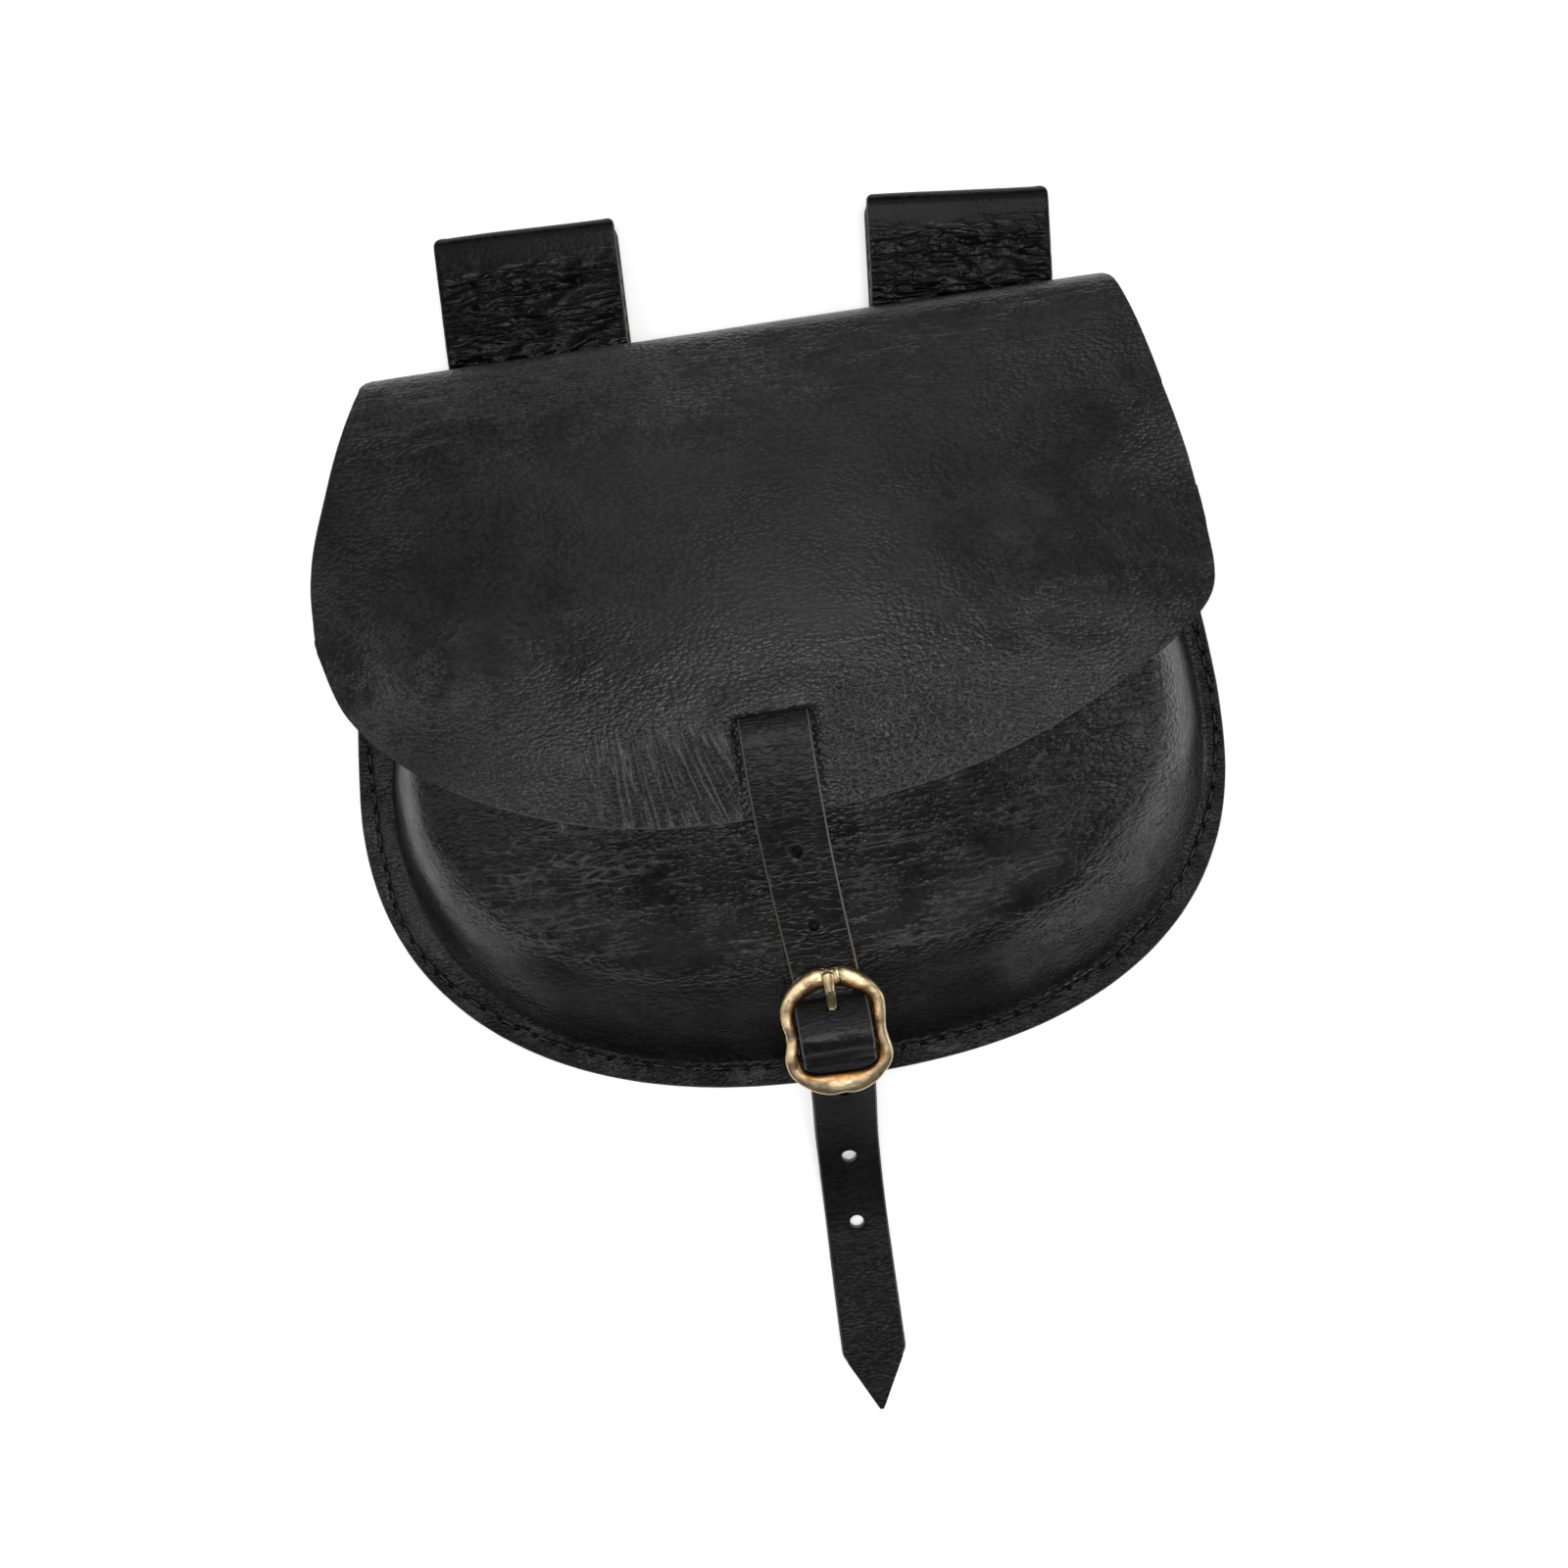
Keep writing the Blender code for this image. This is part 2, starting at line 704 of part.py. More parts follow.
def strap_rise(y):
    """Height of the strap's middle line from its hidden end to where it leaves the front."""
    on_front = face_height(0, y) + GAP + STRAP_HALF
    if y > FLAP_TIP:
        rise = flap_height(0, y) + GAP + STRAP_HALF - on_front
        return on_front + slit_bend(SLIT_PLACE - y, rise)
    over_edge = flap_height(0, FLAP_TIP) - face_height(0, FLAP_TIP)
    return on_front + over_edge * (1 - smooth((FLAP_TIP - y) / STEP_DOWN))


def tail_path(start):
    """Tail from the buckle down to the table and along it to the tip."""
    y, z = start
    heading = np.array((-math.cos(TAIL_ANGLE), -math.sin(TAIL_ANGLE)))
    landing = np.array((y - TAIL_DROP_LENGTH, STRAP_HALF))
    corners = [np.array(start), np.array(start) + TAIL_BEND * heading]
    corners += [landing + np.array((TAIL_LANDING_BEND, 0.0)), landing]
    points = []
    for t in np.linspace(0, 1, 31)[1:]:
        shares = ((1 - t) ** 3, 3 * t * (1 - t) ** 2, 3 * t * t * (1 - t), t**3)
        points.append(tuple(sum(share * corner for share, corner in zip(shares, corners))))
    flat = np.linspace(0, TAIL_FLAT, 13)[1:]
    return points + [(landing[0] - along, STRAP_HALF) for along in flat]


def strap_path():
    """Middle line of the strap in side view, as dense (y, z) points."""
    start_y = SLIT_PLACE + SLIT_LENGTH / 2 + ANCHOR_LENGTH
    places = np.linspace(start_y, STRAP_LEAVES_FRONT, 321)
    points = [(y, strap_rise(y)) for y in places]
    points += weave_path()
    return points + tail_path(points[-1])


def lengths_along(points):
    """Distance of each point along its line."""
    steps = np.hypot(*np.diff(np.array(points), axis=0).T)
    return np.concatenate(([0.0], np.cumsum(steps)))


def thinned(points):
    """The points that a smooth line needs: closer together where it turns."""
    kept = [points[0]]
    heading = None
    for before, point in zip(points, points[1:]):
        step = np.subtract(point, kept[-1])
        here = math.atan2(*np.subtract(point, before)[::-1])
        heading = here if heading is None else heading
        turned = abs((here - heading + math.pi) % (2 * math.pi) - math.pi)
        length = np.hypot(*step)
        if length > STRAP_MOST_STEP or (turned > STRAP_MOST_TURN and length > STRAP_LEAST_STEP):
            kept.append(point)
            heading = here
    if np.hypot(*np.subtract(points[-1], kept[-1])) < STRAP_LEAST_STEP:
        kept.pop()
    return kept + [points[-1]]


def strap_aside(y):
    """Sideways place of the strap's middle."""
    return STRAP_WIDTH * through([(row.along * BODY_LENGTH, row.aside) for row in STRAP_DRIFT], y)


def strap_half_width(along, total):
    """Half the strap's width at a distance from its hidden end."""
    if along < ANCHOR_LENGTH - ANCHOR_SHOULDER / 2:
        return ANCHOR_WIDTH / 2
    if along < total - TIP_LENGTH:
        widening = smooth(1 + (along + TIP_LENGTH - total) / TIP_WIDENING)
        return (STRAP_WIDTH + (TIP_SHOULDER - STRAP_WIDTH) * widening) / 2
    to_tip = (total - along) / TIP_LENGTH
    return (TIP_BLUNT + (TIP_SHOULDER - TIP_BLUNT) * to_tip) / 2


def strap_rows():
    """Rows of the strap as (y, z, half width), with a double row at the shoulders of its end."""
    points = thinned(strap_path())
    lengths = lengths_along(points)
    total = lengths[-1]
    marks = [ANCHOR_LENGTH - ANCHOR_SHOULDER, ANCHOR_LENGTH, total - TIP_LENGTH]
    places = sorted(set(lengths) | set(marks))
    path = np.array(points)
    rows = []
    for place in places:
        y = float(np.interp(place, lengths, path[:, 0]))
        z = float(np.interp(place, lengths, path[:, 1]))
        rows.append((y, z, strap_half_width(place, total)))
    return rows


def make_ribbon(name, rows, columns, place, thickness, finish):
    """Ribbon of leather through its rows, whose points place(row, across) gives, across from -1 to 1."""

    def grid_place(row, column):
        return place(rows[round(row * (len(rows) - 1))], 2 * column - 1)

    ribbon = add_object(name, mapped_grid(len(rows) - 1, columns, grid_place), finish)
    thicken(ribbon, thickness, 0)
    return ribbon


def strap_point(row, across):
    """Point of the strap's middle sheet, which follows the arch of the front while it lies on it."""
    y, z, half = row
    x = strap_aside(y) + half * across
    lying = smooth((y - STRAP_LEAVES_FRONT) / STRAP_WIDTH)
    return x, y, z - arch_drop(x) * lying


def hole_frames():
    """Middle point and slope of the strap at each punched hole, counted from the buckle's tongue."""
    path = strap_path()
    lengths = lengths_along(path)
    ys, zs = np.array(path).T
    tongue_y, _ = buckle_point(*tongue_crossing())
    at_tongue = float(np.interp(-tongue_y, -ys, lengths))
    frames = []
    for pitches in HOLE_PLACES:
        place = at_tongue + pitches * HOLE_PITCH
        y, z = np.interp(place, lengths, ys), np.interp(place, lengths, zs)
        ahead = np.interp(place + STRAP_HALF, lengths, ys), np.interp(place + STRAP_HALF, lengths, zs)
        frames.append((float(y), float(z), math.atan2(ahead[1] - z, y - ahead[0])))
    return frames


def tongue_crossing():
    """Where the tongue passes through the strap, as (along, above) in the buckle's directions."""
    up = crossing_heading(centre_bar_along())
    radius = wrap_radius() + strap_clearance()
    along = centre_bar_along() - radius * math.sin(up)
    above = radius * math.cos(up)
    level = (tongue_over_bar() + tongue_radius()) / 2
    return along - (above - level) / math.tan(up), level


def tongue_radius():
    """From the middle of the centre bar to the middle of the tongue bent round it."""
    return CENTRE_BAR_DIAMETER / 2 + GAP + TONGUE_THICKNESS / 2


def tongue_over_bar():
    """Height of the tongue's middle where it lies on the top bar."""
    return BUCKLE_THICKNESS / 2 + GAP + TONGUE_THICKNESS / 2


def make_box(name, size, place, tilt, finish):
    """Box turned about the X axis."""
    bm = bmesh.new()
    bmesh.ops.create_cube(bm, size=1.0)
    bmesh.ops.scale(bm, vec=size, verts=bm.verts)
    box = add_object(name, bm, finish)
    box.location = place
    box.rotation_euler.x = tilt
    return box


def make_closing_strap(finish):
    """Strap from under the flap through its slit, the buckle and down to the table."""
    strap = make_ribbon("closing_strap", strap_rows(), 4, strap_point, STRAP_THICKNESS, finish)
    bm = bmesh.new()
    for y, z, slope in hole_frames():
        made = bmesh.ops.create_cone(
            bm,
            segments=12,
            cap_ends=True,
            radius1=HOLE_DIAMETER / 2,
            radius2=HOLE_DIAMETER / 2,
            depth=CUTTER_DEPTH,
        )
        for vertex in made["verts"]:
            x, along, above = vertex.co
            vertex.co = (
                x + strap_aside(y),
                y + along * math.cos(slope) + above * math.sin(slope),
                z - along * math.sin(slope) + above * math.cos(slope),
            )
    cut(strap, add_object("hole_cutter", bm, finish))
    y, z = buckle_point(*tongue_crossing())
    height = TONGUE_THICKNESS + 2 * TONGUE_HOLE_GAP
    size = (TONGUE_WIDTH + 2 * STRAP_SIDE_GAP, TONGUE_HOLE_LENGTH, height)
    cut(strap, make_box("tongue_hole_cutter", size, (buckle_aside(), y, z), BUCKLE_TILT, finish))
    return strap


def buckle_aside():
    """Sideways place of the buckle's middle."""
    y, _ = buckle_point(centre_bar_along(), 0.0)
    return strap_aside(y)


def tube(bm, stations, closed):
    """Tube of oval rings through (middle, first side, second side) stations, bridged in turn."""
    rings = []
    for middle, side, up in stations:
        ring = bmesh.ops.create_circle(bm, cap_ends=False, segments=TUBE_SIDES, radius=1.0)["verts"]
        for vertex in ring:
            vertex.co = middle + side * vertex.co.x + up * vertex.co.y
        rings.append([edge for edge in {e for v in ring for e in v.link_edges}])
    pairs = list(zip(rings, rings[1:]))
    if closed:
        pairs.append((rings[-1], rings[0]))
    for first, second in pairs:
        bmesh.ops.bridge_loops(bm, edges=first + second)
    if not closed:
        for ring in (rings[0], rings[-1]):
            bmesh.ops.contextual_create(bm, geom=ring)
    bmesh.ops.recalc_face_normals(bm, faces=bm.faces)


def buckle_stations():
    """Stations of the frame, all the way round, as (across, along, bar width)."""
    right = list(BUCKLE_OUTLINE)
    left = [row._replace(across=-row.across) for row in reversed(right[1:-1])]
    rows = right + left
    half_width = (BUCKLE_WIDTH - BUCKLE_BAR) / 2
    half_length = buckle_half_length()
    knots = [(r.across * half_width, half_length * (1 - r.along), r.bar * BUCKLE_BAR) for r in rows]
    stations = []
    for index, here in enumerate(knots):
        before, after, later = (knots[(index + k) % len(knots)] for k in (-1, 1, 2))
        stations.append(here)
        midway = [(9 * (p + q) - (o + r)) / 16 for o, p, q, r in zip(before, here, after, later)]
        stations.append(tuple(midway))
    return stations


def make_buckle_frame(finish):
    """Cast frame with two lobes, and its centre bar."""
    flat = buckle_stations()
    middle_x = buckle_aside()
    level = Vector((0.0, *buckle_point(0.0, 0.0)))
    up = Vector((0.0, *buckle_point(0.0, BUCKLE_THICKNESS / 2))) - level
    stations = []
    for index, (across, along, bar) in enumerate(flat):
        before, after = flat[index - 1], flat[(index + 1) % len(flat)]
        ahead = Vector((after[0] - before[0], after[1] - before[1])).normalized()
        middle = Vector((middle_x + across, *buckle_point(along, 0.0)))
        outer = buckle_point(along + ahead.x * bar / 2, 0.0)
        side = Vector((middle_x + across - ahead.y * bar / 2, *outer)) - middle
        stations.append((middle, side, up))
    bm = bmesh.new()
    tube(bm, stations, closed=True)
    frame = add_object("buckle_frame", bm, finish)
    half_bar = (BUCKLE_WIDTH - BUCKLE_BAR) / 2 * BUCKLE_OUTLINE[CENTRE_BAR_ROW].across
    bm = bmesh.new()
    radius = CENTRE_BAR_DIAMETER / 2
    bmesh.ops.create_cone(
        bm, segments=10, cap_ends=True, radius1=radius, radius2=radius, depth=2 * half_bar
    )
    bar = add_object("centre_bar", bm, finish)
    bar.location = (middle_x, *buckle_point(centre_bar_along(), 0.0))
    bar.rotation_euler.y = math.pi / 2
    bar.hide_render = True
    bar.display_type = "WIRE"
    union = frame.modifiers.new("Centre bar", "BOOLEAN")
    union.operation = "UNION"
    union.object = bar
    return frame


def make_buckle_tongue(finish):
    """Tongue bent round the centre bar, with its tip on the top bar."""
    centre = centre_bar_along()
    radius = tongue_radius()
    path = []
    for angle in np.radians(np.linspace(-165, 90, 15)):
        path.append((centre + radius * math.cos(angle), radius * math.sin(angle)))
    tip = -BUCKLE_BAR * BUCKLE_OUTLINE[0].bar / 2
    path += [(tip + (centre - tip) * share, tongue_over_bar()) for share in (0.75, 0.5, 0.25, 0.08, 0.0)]
    stations = []
    for index, (along, above) in enumerate(path):
        before, after = path[max(index - 1, 0)], path[min(index + 1, len(path) - 1)]
        ahead = Vector((after[0] - before[0], after[1] - before[1])).normalized()
        middle = Vector((buckle_aside(), *buckle_point(along, above)))
        half = TONGUE_THICKNESS / 2 * (TONGUE_TIP_SHARE if index == len(path) - 1 else 1.0)
        outer = Vector((buckle_aside(), *buckle_point(along - ahead.y * half, above + ahead.x * half)))
        stations.append((middle, Vector((TONGUE_WIDTH / 2, 0.0, 0.0)), outer - middle))
    bm = bmesh.new()
    tube(bm, stations, closed=False)
    return add_object("buckle_tongue", bm, finish)


def tab_lead(start, start_heading, end, end_heading):
    """Smooth run of the tab between two points with the given headings."""
    corners = [np.array(start), np.array(start) + TAB_BEND * np.array(start_heading)]
    corners += [np.array(end) - TAB_BEND * np.array(end_heading), np.array(end)]
    points = []
    for t in np.linspace(0, 1, 9)[1:-1]:
        shares = ((1 - t) ** 3, 3 * t * (1 - t) ** 2, 3 * t * t * (1 - t), t**3)
        points.append(tuple(sum(share * corner for share, corner in zip(shares, corners))))
    return points


def wall_line(offset):
    """Sewn stretch of the lower wall on the middle line, moved out from its surface, foot first."""
    shares = np.linspace(WALL_RISE[1].across, 0.9, 61)
    wall = np.array([front_point(0.5, ("wall", share))[1:] for share in shares])
    sewn = wall[lengths_along(wall) <= TAB_SEWN][::5]
    ahead = np.gradient(sewn, axis=0)
    ahead /= np.hypot(*ahead.T)[:, None]
    return sewn + offset * np.column_stack((-ahead[:, 1], ahead[:, 0])), ahead[-1]


def tab_path():
    """Middle line of the folded tab in side view: up from the wall, round the bar and down again."""
    near, wall_heading = wall_line(GAP + TAB_THICKNESS / 2)
    far, _ = wall_line(2 * GAP + 1.5 * TAB_THICKNESS)
    bar_y, bar_z = buckle_point(centre_bar_along(), 0.0)
    radius = wrap_radius() - TAB_THICKNESS / 2
    rise = (math.cos(TAB_RISE_ANGLE), math.sin(TAB_RISE_ANGLE))
    wrap = []
    for angle in TAB_RISE_ANGLE - math.pi / 2 + np.linspace(0, math.pi, 11):
        wrap.append((bar_y + radius * math.cos(angle), bar_z + radius * math.sin(angle)))
    path = [tuple(point) for point in near]
    path += tab_lead(near[-1], wall_heading, wrap[0], rise) + wrap
    path += reversed(tab_lead(far[-1], wall_heading, wrap[-1], rise))
    return path + [tuple(point) for point in far[::-1]]


def make_buckle_tab(finish):
    """Tab folded round the centre bar, both ends lying on the lower wall, slotted for the tongue."""

    def place(point, across):
        return buckle_aside() + TAB_WIDTH / 2 * across, *point

    tab = make_ribbon("buckle_tab", tab_path(), 2, place, TAB_THICKNESS, finish)
    size = (TONGUE_WIDTH + 2 * STRAP_SIDE_GAP, TAB_SLOT_LENGTH, TAB_SLOT_LENGTH)
    middle = (buckle_aside(), *buckle_point(centre_bar_along(), 0.0))
    cut(tab, make_box("tab_slot_cutter", size, middle, BUCKLE_TILT, finish))
    return tab


def loop_path(reach, lean):
    """Middle line of a belt loop in side view: out along the table, back over the room for the belt."""
    half = LOOP_THICKNESS / 2
    radius = half + LOOP_ROOM / 2
    turn = LOOP_LENGTH - radius - half
    crest = LOOP_LENGTH - reach
    bend_end = crest - LOOP_TUCK + LOOP_WIDTH / 2 * abs(math.sin(lean))
    low, high = half + LOOP_THICKNESS + GAP, half + 2 * radius
    path = [(0.0, half), (crest, half), (turn, half)]
    for angle in np.linspace(-math.pi / 2, math.pi / 2, 11)[1:]:
        path.append((turn + radius * math.cos(angle), half + radius + radius * math.sin(angle)))
    for share in np.linspace(1, 0, 9):
        path.append((bend_end + LOOP_BEND * share, low + (high - low) * smooth(share)))
    return path + [(0.0, low)]


def make_belt_loop(place, finish):
    """Belt loop, a folded strip whose two ends lie under the back panel."""
    reach = place.reach * LOOP_LENGTH

    def local(point, across):
        return LOOP_WIDTH / 2 * across, point[0] - (LOOP_LENGTH - reach), point[1]

    loop = make_ribbon(place.name, loop_path(reach, place.lean), 2, local, LOOP_THICKNESS, finish)
    loop.location = (place.middle * BODY_WIDTH / 2, CREST_Y, 0.0)
    loop.rotation_euler.z = place.lean
    return loop


def main():
    """Build every piece of the pouch."""
    for obj in list(bpy.data.objects):
        bpy.data.objects.remove(obj, do_unlink=True)
    leather = material("black_leather", (0.022, 0.021, 0.021), 0.45, 0.0)
    brass = material("antique_brass", (0.55, 0.40, 0.17), 0.38, 1.0)
    make_back_and_flap(leather)
    make_pouch_front(leather)
    make_closing_strap(leather)
    make_buckle_frame(brass)
    make_buckle_tongue(brass)
    make_buckle_tab(leather)
    for place in LOOPS:
        make_belt_loop(place, leather)


main()
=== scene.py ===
"""Leather belt pouch lying on its back: creased black leather, sewn flange, cast brass buckle.

Metres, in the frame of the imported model: +Z up out of the front of the pouch, +Y towards the
belt loops, +X to the right. The origin is on the underside of the back panel.
"""

import logging
import math
from collections.abc import Callable, Sequence
from dataclasses import dataclass, field, replace
from enum import Enum

import bmesh
import bpy
import numpy as np
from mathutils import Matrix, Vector, noise


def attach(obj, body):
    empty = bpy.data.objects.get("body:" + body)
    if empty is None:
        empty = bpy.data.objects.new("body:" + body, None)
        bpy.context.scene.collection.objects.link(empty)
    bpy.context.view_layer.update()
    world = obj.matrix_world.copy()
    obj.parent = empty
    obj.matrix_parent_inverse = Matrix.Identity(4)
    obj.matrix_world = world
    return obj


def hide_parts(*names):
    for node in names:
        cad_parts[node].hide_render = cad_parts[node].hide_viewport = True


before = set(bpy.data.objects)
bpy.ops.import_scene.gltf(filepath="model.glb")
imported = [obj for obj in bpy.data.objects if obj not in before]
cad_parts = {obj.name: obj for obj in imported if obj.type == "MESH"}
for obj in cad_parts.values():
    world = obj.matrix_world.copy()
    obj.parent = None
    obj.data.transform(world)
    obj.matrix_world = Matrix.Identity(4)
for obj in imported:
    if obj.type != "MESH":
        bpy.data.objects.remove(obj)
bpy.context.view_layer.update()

Array = np.ndarray
Numbers = float | Array
Triple = tuple[float, float, float]
Span = tuple[float, float, float, float]
BMesh = bmesh.types.BMesh
Piece = bpy.types.Object
Material = bpy.types.Material
Socket = bpy.types.NodeSocket

log = logging.getLogger("belt_pouch")


class Slot(Enum):
    """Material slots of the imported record."""

    LEATHER = "black_leather"
    BRASS = "antique_brass"


class Zone(Enum):
    """Parts of the two moulded sheets."""

    BACK = "back"
    FOLD = "fold"
    FLAP = "flap"
    FLANGE = "flange"
    WALL = "wall"
    FACE = "face"


def smooth(share: Numbers) -> Array:
    """Smooth step from 0 to 1, held at both ends."""
    share = np.clip(share, 0.0, 1.0)
    return share * share * (3.0 - 2.0 * share)


@dataclass(frozen=True)
class Curve:
    """Smooth curve through chosen (place, value) rows, straight past its ends."""

    rows: tuple[tuple[float, float], ...]

    def __call__(self, at: Numbers) -> Array:
        """Height of the curve.

        Args:
            at: one place or many.

        Returns:
            The value at each place.
        """
        places, values = np.array(sorted(self.rows)).T
        slopes = np.empty_like(values)
        slopes[1:-1] = (values[2:] - values[:-2]) / (places[2:] - places[:-2])
        slopes[0] = (values[1] - values[0]) / (places[1] - places[0])
        slopes[-1] = (values[-1] - values[-2]) / (places[-1] - places[-2])
        at = np.asarray(at, float)
        index = np.clip(np.searchsorted(places, at, side="right") - 1, 0, len(places) - 2)
        step = places[index + 1] - places[index]
        t = np.clip((at - places[index]) / step, 0.0, 1.0)
        start = values[index] * (1 + 2 * t) * (1 - t) ** 2 + slopes[index] * step * t * (1 - t) ** 2
        end = values[index + 1] * t * t * (3 - 2 * t) + slopes[index + 1] * step * t * t * (t - 1)
        before = slopes[0] * np.minimum(at - places[0], 0.0)
        return start + end + before + slopes[-1] * np.maximum(at - places[-1], 0.0)


@dataclass(frozen=True)
class PouchForm:
    """Sizes that the pieces share, and the surfaces that follow from them."""

    leather: float = 0.0020
    gap: float = 0.0003
    body_width: float = 0.238
    body_length: float = 0.204
    body_widest: float = -0.015
    curve_left: float = 2.25
    curve_right: float = 2.45
    body_flare: float = 1.5
    ramp_foot: float = 0.06
    ramp_top: float = 0.28
    loop_thickness: float = 0.0022
    fold_radius: float = 0.0105
    fold_width: float = 0.1975
    fold_shift: float = 0.0023
    fold_corner: float = 0.0030
    pouch_depth: float = 0.0562
    mouth_setback: float = 0.030
    flange_gap: float = 0.0005
    arch_depth: float = 0.016
    arch_half_width: float = 0.088
    arch_power: float = 2.2
    flap_width: float = 0.2328
    flap_shift: float = -0.0012
    flap_widest: float = 0.032
    flap_tip: float = -0.0275
    flap_edge_lift: float = 0.0007
    flap_straight_from: float = 0.080
    flap_arch_start: float = 0.035
    strap_thickness: float = 0.0020
    slit_place: float = -0.0032
    press_share: float = 0.58
    dome_rows: Curve = Curve((
        (0.36, 0.565), (0.245, 0.75), (0.122, 0.902), (0.025, 0.985), (-0.03, 1.0), (-0.088, 0.983),
        (-0.135, 0.942), (-0.177, 0.888), (-0.226, 0.812), (-0.275, 0.735), (-0.316, 0.668),
        (-0.4, 0.5),
    ))
    flare_left: Curve = Curve(
        ((0, 0), (0.20, 0.28), (0.40, 0.56), (0.60, 0.86), (0.75, 1.00), (0.90, 1.03), (1.00, 1.00))
    )
    flare_right: Curve = Curve(
        ((0, 0), (0.20, 0.23), (0.40, 0.47), (0.60, 0.75), (0.75, 0.91), (0.90, 0.99), (1.00, 1.00))
    )
    edge_aside: Curve = Curve((
        (-1.0, -1.0), (-0.875, -0.941), (-0.75, -0.843), (-0.625, -0.723), (-0.5, -0.589),
        (-0.375, -0.448), (-0.25, -0.3), (-0.125, -0.15), (0.0, 0.0), (0.125, 0.151), (0.25, 0.302),
        (0.375, 0.449), (0.5, 0.592), (0.625, 0.729), (0.75, 0.866), (0.875, 0.979), (1.0, 1.0),
    ))
    edge_drop: Curve = Curve((
        (-1.0, 0.0), (-0.875, 0.294), (-0.75, 0.515), (-0.625, 0.69), (-0.5, 0.822), (-0.375, 0.919),
        (-0.25, 0.976), (-0.125, 0.997), (0.0, 1.0), (0.125, 0.986), (0.25, 0.946), (0.375, 0.877),
        (0.5, 0.777), (0.625, 0.65), (0.75, 0.507), (0.875, 0.312), (1.0, 0.0),
    ))

    @property
    def crest(self) -> float:
        """Where the pouch ends at the fold."""
        return self.body_length / 2

    @property
    def mouth(self) -> float:
        """Where the moulded front ends under the flap."""
        return self.crest - self.mouth_setback

    @property
    def flap_rise(self) -> float:
        """Room between the front and the flap where the strap passes under it."""
        return self.strap_thickness + 2 * self.gap

    def flap_lift(self, y: Numbers) -> Array:
        """Room between the front and the flap."""
        lifted = smooth((y - self.flap_tip) / (self.slit_place - self.flap_tip))
        return self.flap_edge_lift + (self.flap_rise - self.flap_edge_lift) * lifted

    def pressed(self, y: Numbers) -> Array:
        """How far the strap presses the flap down into that room."""
        return self.press_share * (self.flap_lift(y) - self.gap)

    def underside(self, y: Numbers) -> Array:
        """Height of the back panel's underside, which rises over the sewn loops."""
        foot, top = self.ramp_foot * self.body_length, self.ramp_top * self.body_length
        return 2 * (self.loop_thickness + self.gap) * smooth((y - foot) / (top - foot))

    def dome(self, y: Numbers) -> Array:
        """Height of the front's outer side on its middle line."""
        return self.pouch_depth * self.dome_rows(np.asarray(y) / self.body_length)

    def arch(self, x: Numbers) -> Array:
        """How far the front lies lower away from its middle line."""
        return self.arch_depth * (np.abs(x) / self.arch_half_width) ** self.arch_power

    def face(self, x: Numbers, y: Numbers) -> Array:
        """Height of the front face, before its wall takes it down to the flange."""
        return self.dome(y) - self.arch(x)

    def half_width(self, y: Numbers) -> Array:
        """Half the body's width between the fold and its widest line.

        Args:
            y: place along the pouch.

        Returns:
            The half width.
        """
        share = (self.crest - y) / (self.crest - self.body_widest)
        narrower = (self.body_width - self.fold_width) / 2
        return self.body_width / 2 - narrower * np.maximum(1 - share, 0.0) ** self.body_flare

    def shift(self, y: Numbers) -> Array:
        """Sideways shift of the body's middle near the fold."""
        reach = self.crest - self.body_widest
        return self.fold_shift * np.maximum(y - self.body_widest, 0.0) / reach

    def lower_edge(self, half: Numbers, depth: Numbers, angle: Array) -> tuple[Array, Array]:
        """Points of a rounded lower edge.

        Args:
            half: half its width.
            depth: how far it hangs below the widest line.
            angle: -90 degrees at its left end, 0 at the bottom, 90 at its right end.

        Returns:
            How far aside each point lies, and its place below the widest line, as a negative number.
        """
        power = 2 / np.where(angle < 0, self.curve_left, self.curve_right)
        aside = np.sign(angle) * np.abs(np.sin(angle)) ** power * half
        return aside, -depth * np.maximum(np.cos(angle), 0.0) ** power

    def back_point(self, share: Array, across: Array) -> Array:
        """Point of the flat back panel: share 0 is the fold line, 1 its rounded lower edge.

        Args:
            share: 0 on the fold line, 1 on the lower edge.
            across: -1 at the left side, 1 at the right.

        Returns:
            The points.
        """
        fold_y = self.crest - self.fold_radius
        side_y = fold_y + (self.body_widest - fold_y) * share
        depth = (self.body_widest + self.crest) * share
        x, drop = self.lower_edge(self.half_width(side_y), depth, across * math.pi / 2)
        y = side_y + drop
        return np.stack((x + self.shift(side_y), y, self.underside(y)), axis=-1)

    def flap_start(self) -> tuple[float, float, float, float]:
        """Where the flap leaves the fold.

        Returns:
            The slope there, and the y of the line, with the y and z of the fold's middle.
        """
        middle_y = self.crest - self.fold_radius
        middle_z = float(self.underside(middle_y)) + self.fold_radius
        start_z = float(self.dome(self.mouth)) + self.flap_rise + self.leather
        away = math.hypot(middle_y - self.mouth, middle_z - start_z)
        bearing = math.atan2(start_z - middle_z, middle_y - self.mouth)
        slope = bearing - math.asin(self.fold_radius / away)
        return slope, middle_y + self.fold_radius * math.sin(slope), middle_y, middle_z

